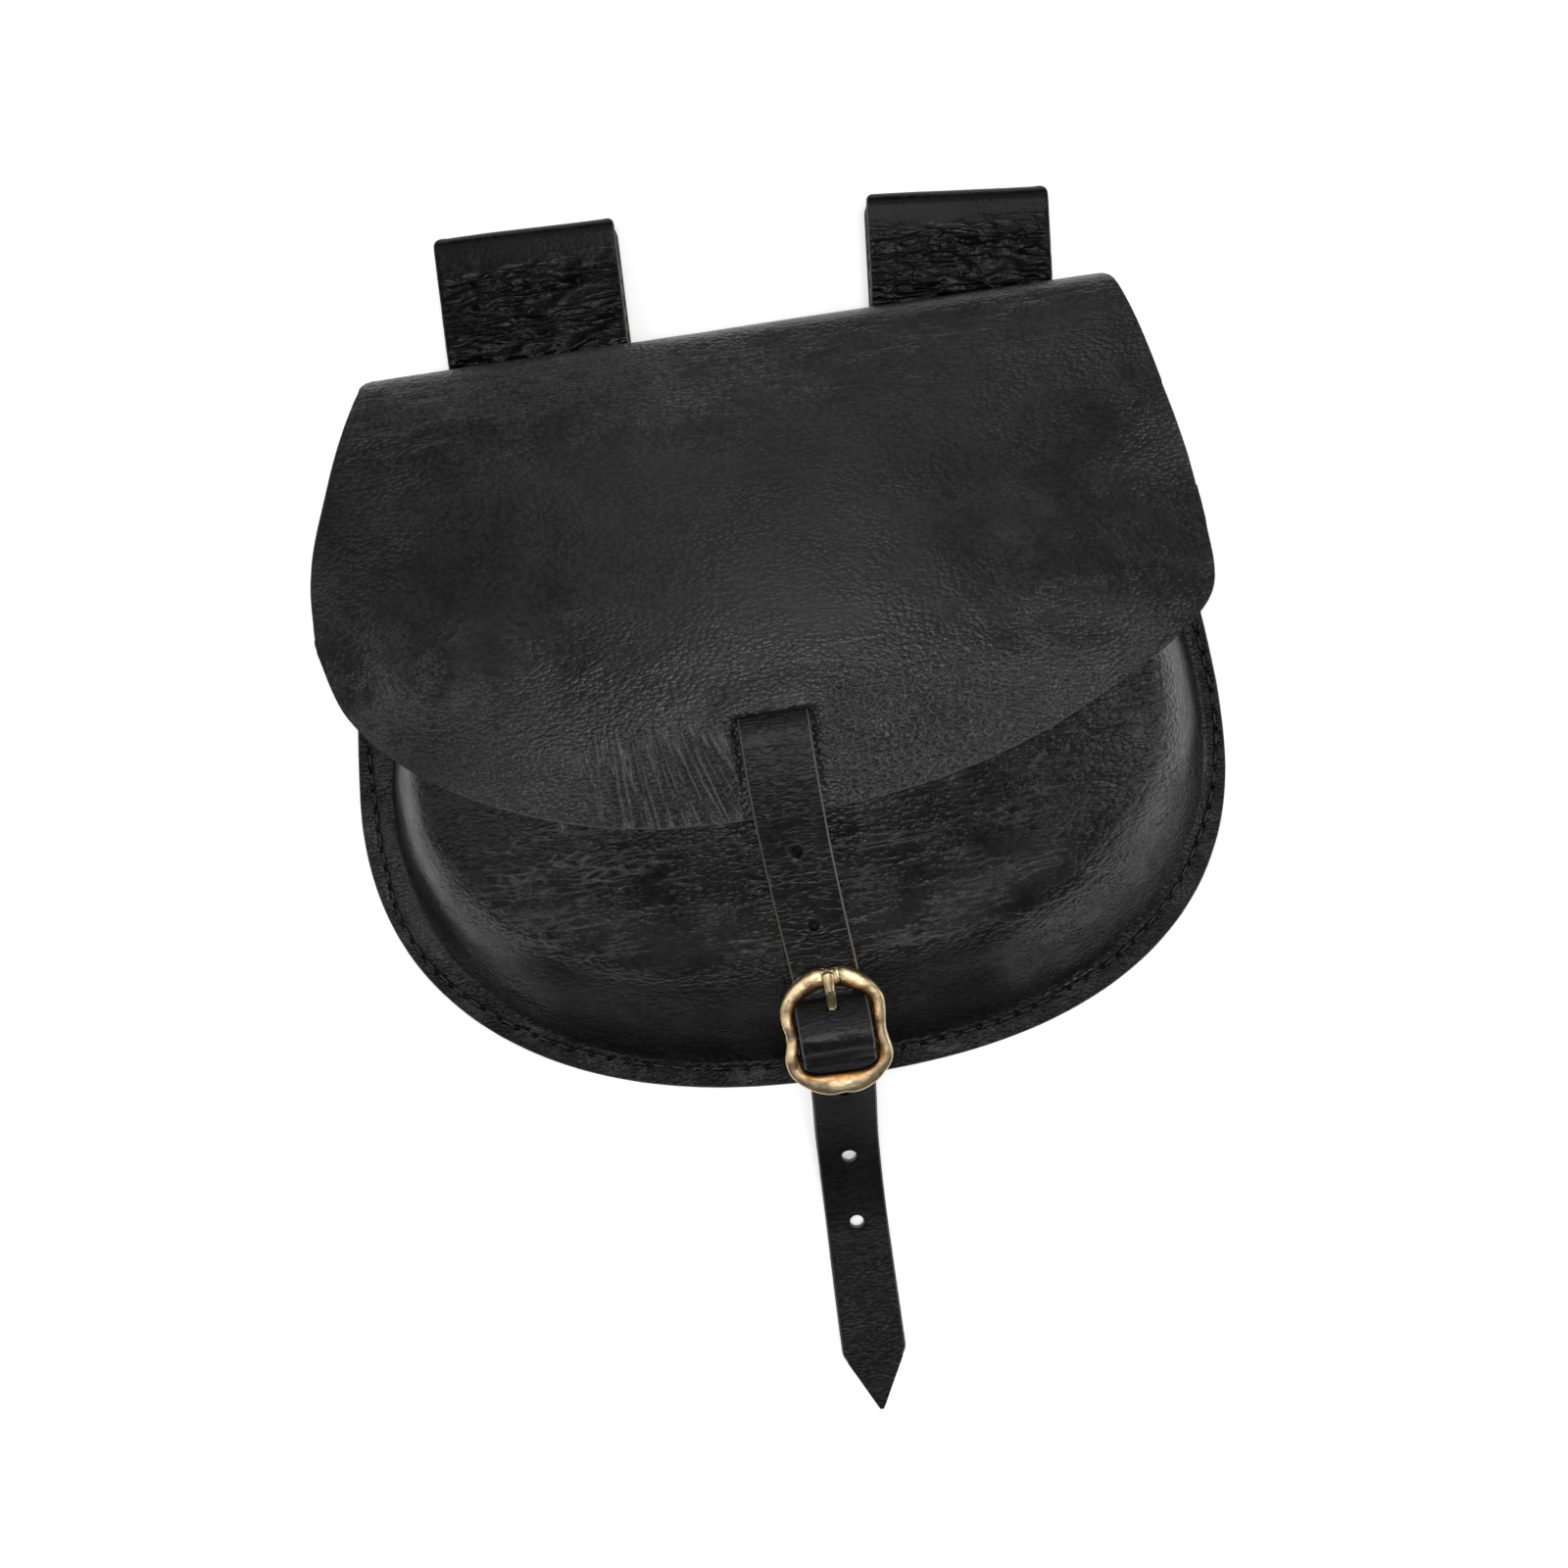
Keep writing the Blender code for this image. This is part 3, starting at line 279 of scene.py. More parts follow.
    def flap_height(self, x: Array, y: Array) -> Array:
        """Height of the flap's outer side.

        Args:
            x: place across it.
            y: place along the pouch.

        Returns:
            The height.
        """
        slope, touch_y, _, middle_z = self.flap_start()
        touch_z = middle_z + self.fold_radius * math.cos(slope)
        straight = touch_z + (touch_y - y) * math.tan(slope)
        middle = np.where(y > self.mouth, straight, self.dome(y) + self.flap_lift(y) + self.leather)
        bent = np.minimum(np.abs(x), self.flap_straight_from)
        side_slope = self.arch_power * self.arch(bent) / np.maximum(bent, self.gap)
        drop = self.arch(bent) + side_slope * (np.abs(x) - bent)
        return middle - drop * smooth((touch_y - y) / (touch_y - self.flap_arch_start))

    def fold_point(self, turned: Array, across: Array) -> Array:
        """Point of the fold: turned 0 is where it leaves the back panel, 1 where the flap begins.

        Args:
            turned: share of the turn.
            across: -1 at the left side, 1 at the right.

        Returns:
            The points.
        """
        slope, _, middle_y, middle_z = self.flap_start()
        angle = turned * (math.pi - slope)
        y = middle_y + self.fold_radius * np.sin(angle)
        half = self.half_width(y) - self.fold_corner * np.sin(angle) ** 8
        start, _ = self.lower_edge(1.0, 0.0, across * math.pi / 2)
        aside = start + (self.edge_aside(across) - start) * turned
        z = middle_z - self.fold_radius * np.cos(angle)
        return np.stack((half * aside + self.shift(y), y, z), axis=-1)

    def flap_point(self, share: Array, across: Array) -> Array:
        """Point of the flap: share 0 is where it leaves the fold, 1 its rounded lower edge.

        Args:
            share: share of the way down.
            across: -1 at the left side, 1 at the right.

        Returns:
            The points.
        """
        _, touch_y, _, _ = self.flap_start()
        half, middle = self.half_width(touch_y), self.shift(touch_y)
        left_way = half - middle + self.flap_shift - self.flap_width / 2
        right_way = self.flap_width / 2 + self.flap_shift - middle - half
        left = middle - half + self.flare_left(share) * left_way
        right = middle + half + self.flare_right(share) * right_way
        x = (left + right) / 2 + self.edge_aside(across) * (right - left) / 2
        reach = self.flap_widest - touch_y + self.edge_drop(across) * (self.flap_tip - self.flap_widest)
        y = touch_y + reach * share
        return np.stack((x, y, self.flap_height(x, y)), axis=-1)


def unit(ways: Array) -> Array:
    """Directions of length 1, along the last axis."""
    return ways / np.linalg.norm(ways, axis=-1, keepdims=True)


def noise_places(points: Array, size: Sequence[float], seed: float) -> list[list[float]]:
    """Places at which noise is read.

    Args:
        points: places, in metres, with their last axis of 2 or 3 numbers.
        size: length of one repeat along each of those axes.
        seed: which pattern.

    Returns:
        One place of three numbers for each point.
    """
    scaled = points / np.array(size)
    if scaled.shape[-1] == 2:
        scaled = np.concatenate((scaled, np.zeros_like(scaled[..., :1])), axis=-1)
    return (scaled.reshape(-1, 3) + seed).tolist()


def ripples(points: Array, size: Sequence[float], seed: float) -> Array:
    """Smooth random heights.

    Args:
        points: places, in metres, with their last axis of 2 or 3 numbers.
        size: length of a ripple along each of those axes.
        seed: which pattern.

    Returns:
        Heights of about -1 to 1.
    """
    found = [noise.noise(place) for place in noise_places(points, size, seed)]
    return np.array(found).reshape(points.shape[:-1]) * 1.6


def ridges(points: Array, size: Sequence[float], seed: float) -> Array:
    """Net of narrow ridges: 1 on a ridge and towards 0 between them."""
    return np.clip(1.0 - 2.2 * np.abs(ripples(points, size, seed)), 0.0, 1.0) ** 1.3


def pebbles(points: Array, size: Sequence[float], seed: float) -> Array:
    """Raised cells with creases between them, 0 in a crease and about 1 on a cell."""
    near = np.array([noise.voronoi(place)[0][:2] for place in noise_places(points, size, seed)])
    return smooth((near[:, 1] - near[:, 0]) * 2.2).reshape(points.shape[:-1])


def bell(distance: Array, reach: float) -> Array:
    """Round hill of height 1 that fades over a reach."""
    return np.exp(-((distance / reach) ** 2))


@dataclass(frozen=True)
class Fade:
    """Smooth step from 0 at one place to 1 a reach further on, which may lie on either side."""

    start: float
    reach: float

    def __call__(self, at: Numbers) -> Array:
        """Share reached at each place."""
        return smooth((at - self.start) / self.reach)


@dataclass(frozen=True)
class Waves:
    """Smooth random relief: its height, the length of a wave along each axis, and which pattern."""

    height: float
    size: tuple[float, ...]
    seed: float

    def __call__(self, points: Array) -> Array:
        """Height at each point."""
        return self.height * ripples(points, self.size, self.seed)


@dataclass(frozen=True)
class Cells(Waves):
    """Raised cells with creases between them, in place of waves."""

    def __call__(self, points: Array) -> Array:
        """Height at each point."""
        return self.height * pebbles(points, self.size, self.seed)


@dataclass(frozen=True)
class Spot:
    """Oval place where a mark is stronger than round it, or weaker where the amount is negative."""

    x: float
    y: float
    reach_x: float
    reach_y: float
    amount: float

    def __call__(self, x: Array, y: Array) -> Array:
        """How much the spot adds at each place."""
        return self.amount * bell(x - self.x, self.reach_x) * bell(y - self.y, self.reach_y)


@dataclass
class Skin:
    """One side of a piece of leather as a grid of points, with the marks that its finish reads."""

    points: Array
    outward: int = 1
    marks: dict[str, Array] = field(default_factory=dict)
    flat: Array | None = None

    def normals(self) -> Array:
        """Unit directions square to the skin, on its outer side.

        Returns:
            One direction for each point.
        """
        along = np.gradient(self.points, axis=1)
        down = np.gradient(self.points, axis=0)
        square = np.cross(along, down) * self.outward
        return square / np.maximum(np.linalg.norm(square, axis=2, keepdims=True), 1e-12)

    def raised(self, height: Numbers) -> None:
        """Move the skin out by a height at each point."""
        height = np.broadcast_to(height, self.points.shape[:2])
        self.points = self.points + self.normals() * height[..., None]

    def mesh(self, merge: float = 0.0) -> BMesh:
        """Mesh of the skin, with its faces looking outwards.

        Args:
            merge: distance under which its points are made one.

        Returns:
            The new mesh.
        """
        rows, columns = self.points.shape[0] - 1, self.points.shape[1] - 1
        bm = bmesh.new()
        flat = bm.loops.layers.uv.new("flat") if self.flat is not None else None
        layers = {name: bm.verts.layers.float.new(name) for name in self.marks}
        bmesh.ops.create_grid(bm, x_segments=columns, y_segments=rows, size=0.5)
        places = {}
        for vertex in bm.verts:
            place = round((vertex.co.y + 0.5) * rows), round((vertex.co.x + 0.5) * columns)
            places[vertex] = place
            vertex.co = self.points[place]
            for name, layer in layers.items():
                vertex[layer] = float(self.marks[name][place])
        if flat is not None:
            for face in bm.faces:
                for loop in face.loops:
                    loop[flat].uv = self.flat[places[loop.vert]]
        if self.outward < 0:
            bmesh.ops.reverse_faces(bm, faces=bm.faces)
        if merge:
            bmesh.ops.remove_doubles(bm, verts=bm.verts, dist=merge)
        return bm


def add_piece(name: str, bm: BMesh, finishes: Sequence[Material]) -> Piece:
    """Object of a finished mesh at the origin, shaded smooth.

    Args:
        name: the piece's name.
        bm: its mesh, which is freed.
        finishes: its materials, in the order of its faces' indices.

    Returns:
        The new object.
    """
    mesh = bpy.data.meshes.new(name)
    bm.to_mesh(mesh)
    bm.free()
    mesh.shade_smooth()
    for finish in finishes:
        mesh.materials.append(finish)
    piece = bpy.data.objects.new(name, mesh)
    bpy.context.scene.collection.objects.link(piece)
    return piece


def append(bm: BMesh, extra: BMesh) -> None:
    """Add a mesh to another.

    Args:
        bm: the mesh that grows.
        extra: what is added, which is freed.
    """
    mesh = bpy.data.meshes.new("extra")
    extra.to_mesh(mesh)
    extra.free()
    bm.from_mesh(mesh)
    bpy.data.meshes.remove(mesh)


def settle(piece: Piece, sharp: float = math.radians(38)) -> None:
    """Make a piece's modifiers part of its mesh, and shade it smooth between sharp edges.

    Args:
        piece: what is settled.
        sharp: angle from which an edge stays sharp.
    """
    bpy.context.view_layer.update()
    graph = bpy.context.evaluated_depsgraph_get()
    mesh = bpy.data.meshes.new_from_object(piece.evaluated_get(graph), depsgraph=graph)
    piece.modifiers.clear()
    piece.data = mesh
    mesh.shade_smooth()
    mesh.set_sharp_from_angle(angle=sharp)


def can_be_rounded(rim: bmesh.types.BMEdge, radius: float) -> bool:
    """Whether an edge bounds the cut edge of a sheet, with wide enough faces beside it.

    Args:
        rim: the edge.
        radius: of its rounding.

    Returns:
        Whether it can.
    """
    faces = rim.link_faces
    if len(faces) != 2 or sum(face.material_index == 2 for face in faces) != 1:
        return False
    start, end = (vertex.co for vertex in rim.verts)
    ahead = (end - start).normalized()
    for face in faces:
        far = [vertex.co - start for vertex in face.verts if vertex not in rim.verts]
        if min((way - ahead * way.dot(ahead)).length for way in far) < 1.15 * radius:
            return False
    return True


def give_thickness(piece: Piece, thickness: float, edge: float) -> None:
    """Thicken a skin inwards, with the flesh side and the cut edge as its second and third finish.

    Args:
        piece: the skin's object, whose faces look outwards.
        thickness: of the leather.
        edge: radius of the rounded cut edge.
    """
    solid = piece.modifiers.new("Thickness", "SOLIDIFY")
    solid.thickness = thickness
    solid.offset = -1
    solid.use_even_offset = True
    solid.use_rim = True
    solid.material_offset = 1
    solid.material_offset_rim = 2
    settle(piece)
    bm = bmesh.new()
    bm.from_mesh(piece.data)
    rims = [rim for rim in bm.edges if can_be_rounded(rim, edge)]
    bmesh.ops.bevel(bm, geom=rims, offset=edge, segments=3, affect="EDGES", profile=0.5, material=2)
    bm.to_mesh(piece.data)
    bm.free()
    piece.data.shade_smooth()
    piece.data.set_sharp_from_angle(angle=math.radians(50))


def cut(piece: Piece, bm: BMesh, finish: Material) -> None:
    """Cut a mesh out of a piece, and leave the cut's walls in a finish.

    Args:
        piece: what is cut.
        bm: the cutter, which is freed.
        finish: of the walls.
    """
    cutter = add_piece(piece.name + "_cutter", bm, [finish])
    boolean = piece.modifiers.new("Cut", "BOOLEAN")
    boolean.operation = "DIFFERENCE"
    boolean.solver = "EXACT"
    boolean.material_mode = "TRANSFER"
    boolean.object = cutter
    settle(piece)
    bpy.data.objects.remove(cutter, do_unlink=True)


def dress(piece: Piece, slot: Slot, *nodes: str) -> Piece:
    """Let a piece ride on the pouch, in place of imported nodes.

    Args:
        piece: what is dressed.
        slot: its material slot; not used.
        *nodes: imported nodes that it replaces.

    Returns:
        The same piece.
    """
    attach(piece, "root")
    if nodes:
        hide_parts(*nodes)
    return piece


class Graph:
    """Node tree of one finish."""

    def __init__(self, name: str) -> None:
        """Start a material with its one shader.

        Args:
            name: of the material.
        """
        self.material = bpy.data.materials.new(name)
        self.material.use_nodes = True
        self.tree = self.material.node_tree
        self.shader = self.tree.nodes["Principled BSDF"]

    def set(self, socket: Socket, value: object) -> None:
        """Give a socket a number, a colour or a link.

        Args:
            socket: input of a node.
            value: what it gets.
        """
        if isinstance(value, Socket):
            self.tree.links.new(value, socket)
        else:
            socket.default_value = value

    def give(self, name: str, value: object) -> None:
        """Give one of the shader's own sockets a number, a colour or a link."""
        self.set(self.shader.inputs[name], value)

    def add(self, kind: str, inputs: dict[str, object], **settings: object) -> bpy.types.Node:
        """Add a node.

        Args:
            kind: its type, without the leading ShaderNode.
            inputs: what its named inputs get.
            settings: its own settings.

        Returns:
            The new node.
        """
        node = self.tree.nodes.new("ShaderNode" + kind)
        for name, value in settings.items():
            setattr(node, name, value)
        for name, value in inputs.items():
            self.set(node.inputs[name], value)
        return node

    def object_places(self, scale: Sequence[float] = (1.0, 1.0, 1.0)) -> Socket:
        """Places on the piece, in repeats along each axis."""
        return self.scaled(self.add("TexCoord", {}).outputs["Object"], scale)

    def flat_places(self, scale: Sequence[float] = (1.0, 1.0, 1.0)) -> Socket:
        """Places on the flat cut of the leather, in repeats across and along."""
        return self.scaled(self.add("UVMap", {}, uv_map="flat").outputs["UV"], scale)

    def scaled(self, vector: Socket, scale: Sequence[float]) -> Socket:
        """A vector times a scale along each axis."""
        return self.add("Mapping", {"Vector": vector, "Scale": scale}).outputs["Vector"]

    def repeated(self, vector: Socket, size: Sequence[float]) -> Socket:
        """A flat vector in repeats of a size along its first two axes."""
        return self.scaled(vector, (1 / size[0], 1 / size[1], 1.0))

    def domes(self, distance: Socket, radius: float) -> Socket:
        """Round tops, from the distance to their middles: 1 in the middle and 0 at the radius."""
        return self.minus(1.0, self.math("POWER", self.spread(distance, 0.0, radius, 0.0, 1.0), 2.0))

    def mark(self, name: str) -> Socket:
        """A mark that the mesh carries."""
        return self.add("Attribute", {}, attribute_name=name).outputs["Fac"]

    def math(self, operation: str, *values: object) -> Socket:
        """Sum, product or other figure of one, two or three values.

        Args:
            operation: its name in Blender.
            *values: numbers or links.

        Returns:
            The result.
        """
        node = self.add("Math", {}, operation=operation)
        for socket, value in zip(node.inputs, values):
            self.set(socket, value)
        return node.outputs[0]

    def times(self, first: object, second: object) -> Socket:
        """Product of two values."""
        return self.math("MULTIPLY", first, second)

    def plus(self, first: object, second: object) -> Socket:
        """Sum of two values."""
        return self.math("ADD", first, second)

    def minus(self, first: object, second: object) -> Socket:
        """The first value less the second."""
        return self.math("SUBTRACT", first, second)

    def noise(self, vector: Socket, scale: float, detail: float = 2.0, rough: float = 0.5) -> Socket:
        """Cloudy values of about 0.2 to 0.8."""
        inputs = {"Vector": vector, "Scale": scale, "Detail": detail, "Roughness": rough}
        return self.add("TexNoise", inputs).outputs[0]

    def cells(self, vector: Socket, scale: float, feature: str, flat: bool) -> Socket:
        """Distance within cells, from their middles or from their edges.

        Args:
            vector: places.
            scale: cells per unit.
            feature: what is measured.
            flat: whether the cells ignore the third axis.

        Returns:
            The distance, as a share of a cell.
        """
        inputs = {"Vector": vector, "Scale": scale, "Randomness": 0.9}
        axes = "2D" if flat else "3D"
        return self.add("TexVoronoi", inputs, feature=feature, voronoi_dimensions=axes).outputs["Distance"]

    def spread(self, value: Socket, *limits: float) -> Socket:
        """A value moved from between the first two limits to between the last two.

        Args:
            value: what is moved.
            *limits: from, from, to and to.

        Returns:
            The moved value.
        """
        node = self.add("MapRange", {"Value": value})
        for name, limit in zip(("From Min", "From Max", "To Min", "To Max"), limits):
            node.inputs[name].default_value = limit
        return node.outputs[0]

    def warped(self, vector: Socket, scale: float, amount: float) -> Socket:
        """A vector pushed about by noise, so that a pattern on it loses its regularity.

        Args:
            vector: places.
            scale: of the noise.
            amount: how far it pushes.

        Returns:
            The pushed places.
        """
        push = self.add("TexNoise", {"Vector": vector, "Scale": scale, "Detail": 1.0}).outputs["Color"]
        centred = self.add("VectorMath", {0: push, 1: (0.5, 0.5, 0.5)}, operation="SUBTRACT")
        pushed = self.add("VectorMath", {0: centred.outputs[0]}, operation="SCALE")
        pushed.inputs["Scale"].default_value = amount
        return self.add("VectorMath", {0: vector, 1: pushed.outputs[0]}, operation="ADD").outputs[0]

    def mixed(self, share: object, first: object, second: Sequence[float]) -> Socket:
        """A colour between two, by a share; the first may come from another node.

        Args:
            share: of the second.
            first: a colour or a link.
            second: a colour.

        Returns:
            The mixed colour.
        """
        node = self.add("Mix", {}, data_type="RGBA")
        self.set(node.inputs[0], share)
        self.set(node.inputs[6], first if isinstance(first, Socket) else (*first, 1.0))
        self.set(node.inputs[7], (*second, 1.0))
        return node.outputs[2]

    def net(self, vector: Socket, width: float, flat: bool) -> Socket:
        """Narrow ridges along the borders of irregular cells of size 1."""
        pushed = self.warped(vector, 0.8, 0.7)
        return self.spread(self.cells(pushed, 1.0, "DISTANCE_TO_EDGE", flat), 0.0, width, 1.0, 0.0)

    def relief(self, height: Socket, strength: float = 1.0) -> None:
        """Bump the surface by a height in metres.

        Args:
            height: in metres.
            strength: share of it that shows.
        """
        inputs = {"Height": height, "Distance": 1.0, "Strength": strength}
        bump = self.add("Bump", inputs)
        self.give("Normal", bump.outputs["Normal"])


@dataclass(frozen=True)
class LeatherFinish:
    """Grain side of black leather: pebbled grain, elongated creases, a soft sheen, with painted highlights on
    its ridges and pebble middles and painted shade in its creases and seam.
    """

    name: str
    dark: Triple = (0.0050, 0.0048, 0.0049)
    light: Triple = (0.0120, 0.0115, 0.0116)
    gloss: tuple[float, float] = (0.27, 0.42)
    shine: float = 0.30
    grain_size: float = 0.00115
    grain_depth: float = 0.00017
    grain_stretch: Triple = (0.75, 1.15, 1.0)
    crease_size: Triple = (0.0060, 0.0013, 0.0040)
    crease_depth: float = 0.00036
    crease_width: float = 0.20
    crease_wander: float = 1.6
    fan_depth: float = 0.0
    # rubbed: lighter colour of the ridges, partly real wear and partly a painted highlight where the ridges
    # would catch the light
    rubbed: Triple = (0.085, 0.083, 0.082)
    rub_highlight: float = 0.5
    follows_cut: bool = False
    dulled: bool = True
    stitched: bool = False
    hole_depth: float = 0.0005
    # Painted shade: the needle holes and a line along the seam groove are painted darker by these two spans.
    hole_span: Span = (0.00025, 0.00075, 1.0, 0.0)
    seam_shade_span: Span = (0.0003, 0.0010, 0.7, 0.0)
    pebble_radius: float = 0.66
    small_cells: float = 2.6
    small_radius: float = 0.75
    small_share: float = 0.28
    fine_cells: float = 3.4
    fine_share: float = 0.35
    fine_gloss: float = 0.3
    patches: float = 95.0
    patch_span: Span = (0.35, 0.65, 0.35, 1.0)
    crease_span: Span = (0.40, 0.62, 0.05, 1.0)
    tones: float = 55.0
    tone_span: Span = (0.3, 0.7, 0.0, 0.6)
    # Painted highlight and shade: pebble middles are painted lighter and the creases between them darker.
    pebble_shade_span: Span = (0.25, 0.75, 0.5, -0.3)
    rub_highlight_power: float = 1.7
    fan_size: tuple[float, float] = (0.0023, 0.0320)
    fan_width: float = 0.24
    fan_break_size: tuple[float, float] = (0.0022, 0.0060)
    fan_span: Span = (0.40, 0.60, 0.25, 1.55)
    fan_crinkle: float = 0.35
    crinkle_size: tuple[float, float] = (0.0019, 0.0015)
    crinkle_width: float = 0.28
    crinkle_patch: float = 0.0015
    crinkle_span: Span = (0.40, 0.60, 0.10, 1.6)

    def build(self) -> Material:
        """Make the material.

        Returns:
            It, with its grain and creases scaled by the marks "grain" and "crease".
        """
        g = Graph(self.name)
        places = g.flat_places if self.follows_cut else g.object_places
        plain, scale = places(), 1 / self.grain_size
        grain = g.warped(places(self.grain_stretch), 0.5 * scale, 0.8 * self.grain_size)
        cell = g.cells(grain, scale, "F1", self.follows_cut)
        small = g.cells(grain, self.small_cells * scale, "F1", self.follows_cut)
        fine = g.noise(plain, self.fine_cells * scale, 3.0, 0.6)
        grained = g.times(g.domes(small, self.small_radius), self.small_share)
        grained = g.plus(grained, g.times(fine, self.fine_share))
        patch = g.spread(g.noise(plain, self.patches), *self.patch_span)
        grained = g.times(g.plus(g.domes(cell, self.pebble_radius), grained), patch)
        grained = g.times(g.times(grained, g.mark("grain")), self.grain_depth)
        stretched = places(tuple(1 / size for size in self.crease_size))
        ridge = g.net(g.warped(stretched, 0.35, self.crease_wander), self.crease_width, self.follows_cut)
        raised = g.times(ridge, g.spread(g.noise(stretched, 0.45), *self.crease_span))
        raised = g.times(raised, g.mark("crease"))
        height = g.plus(grained, g.times(raised, self.crease_depth))
        if self.fan_depth:
            fan = self.fanned(g, plain)
            height, raised = g.plus(height, g.times(fan, self.fan_depth)), g.plus(raised, fan)
        tone = g.noise(plain, self.tones, 3.0, 0.6)
        # The cell part is painted highlight and shade: pebble middles lighter, the creases between them
        # darker.
        shade = g.plus(g.spread(tone, *self.tone_span), g.spread(cell, *self.pebble_shade_span))
        if self.stitched:
            height, shade = self.sewn(g, height, shade)
        g.relief(height)
        # Painted highlight: the ridges take the rubbed colour, partly as wear and partly as painted
        # highlight, and the mark "lit" paints a lighter band.
        rub_highlight = g.plus(g.times(g.math("POWER", raised, self.rub_highlight_power), self.rub_highlight), g.mark("lit"))
        g.give("Base Color", g.mixed(rub_highlight, g.mixed(shade, self.dark, self.light), self.rubbed))
        worn = g.plus(g.times(tone, 1 - self.fine_gloss), g.times(fine, self.fine_gloss))
        g.give("Roughness", g.spread(worn, 0.3, 0.7, *self.gloss))
        g.give("Specular IOR Level", self.shine)
        if self.dulled:
            g.give("Specular IOR Level", g.times(g.minus(1.0, g.mark("dull")), self.shine))
        return g.material

    def fanned(self, g: Graph, plain: Socket) -> Socket:
        """Fine ridges beside the strap, by the marks "aslant", "fan" and "crinkle".

        Args:
            g: the finish's node tree.
            plain: places in metres.

        Returns:
            Their height, with 1 for the tallest.
        """
        down = g.add("SeparateXYZ", {"Vector": plain}).outputs["Y"]
        slanted = g.add("CombineXYZ", {"X": g.mark("aslant"), "Y": down}).outputs[0]
        long = g.net(g.repeated(slanted, self.fan_size), self.fan_width, True)
        broken = g.noise(g.repeated(slanted, self.fan_break_size), 1.0, 2.0, 0.6)
        small = g.net(g.repeated(plain, self.crinkle_size), self.crinkle_width, True)
        patchy = g.noise(plain, 1 / self.crinkle_patch, 2.0, 0.6)
        small = g.times(small, g.spread(patchy, *self.crinkle_span))
        fan = g.plus(g.times(long, g.spread(broken, *self.fan_span)), g.times(small, self.fan_crinkle))
        return g.plus(g.times(fan, g.mark("fan")), g.times(small, g.mark("crinkle")))

    def sewn(self, g: Graph, height: Socket, shade: Socket) -> tuple[Socket, Socket]:
        """Sink the needle's holes into the leather and paint shade into them and along the seam, by the marks
        "seam" and "off_seam".

        Args:
            g: the finish's node tree.
            height: height of the leather without its holes.
            shade: its share of the lighter colour.

        Returns:
            The height and the shade with the holes.
        """
        along = g.times(g.minus(g.math("FRACT", g.mark("seam")), 0.5), Stitching.pitch)
        squares = g.plus(g.math("POWER", along, 2.0), g.math("POWER", g.mark("off_seam"), 2.0))
        hole = g.spread(g.math("SQRT", squares), *self.hole_span)
        # Painted shade: the holes and a line along the seam are painted darker.
        line = g.spread(g.math("ABSOLUTE", g.mark("off_seam")), *self.seam_shade_span)
        return g.minus(height, g.times(hole, self.hole_depth)), g.minus(g.minus(shade, hole), line)


@dataclass(frozen=True)
class FleshFinish:
    """Unfinished inner side of the leather: short fibres, no gloss."""

    name: str = "leather_flesh_side"
    dark: Triple = (0.016, 0.014, 0.013)
    light: Triple = (0.036, 0.031, 0.028)
    fibre_depth: float = 0.00018

    def build(self) -> Material:
        """Make the material.

        Returns:
            The material.
        """
        g = Graph(self.name)
        places = g.object_places()
        fibre = g.noise(places, 900.0, 5.0, 0.7)
        cloud = g.noise(places, 60.0, 3.0, 0.6)
        g.relief(g.times(fibre, self.fibre_depth))
        g.give("Base Color", g.mixed(cloud, self.dark, self.light))
        g.give("Roughness", 0.92)
        return g.material


@dataclass(frozen=True)
class EdgeFinish:
    """Cut edge of the leather, dyed black and rubbed smooth; the mark "pale" makes it paler, partly as undyed
    leather and partly as a painted highlight.
    """

    name: str = "leather_cut_edge"
    dark: Triple = (0.020, 0.019, 0.018)
    light: Triple = (0.085, 0.080, 0.072)
    # undyed: tan of the cut edge, also used as a painted highlight
    undyed_and_highlight: Triple = (0.13, 0.12, 0.085)
    layer_depth: float = 0.00008

    def build(self) -> Material:
        """Make the material.

        Returns:
            The material.
        """
        g = Graph(self.name)
        layers = g.noise(g.object_places(), 1400.0, 4.0, 0.65)
        g.relief(g.times(layers, self.layer_depth))
        dyed = g.mixed(layers, self.dark, self.light)
        # Paler by the mark "pale": partly undyed leather, partly painted highlight.
        g.give("Base Color", g.mixed(g.mark("pale"), dyed, self.undyed_and_highlight))
        g.give("Roughness", g.spread(layers, 0.3, 0.7, 0.38, 0.60))
        return g.material


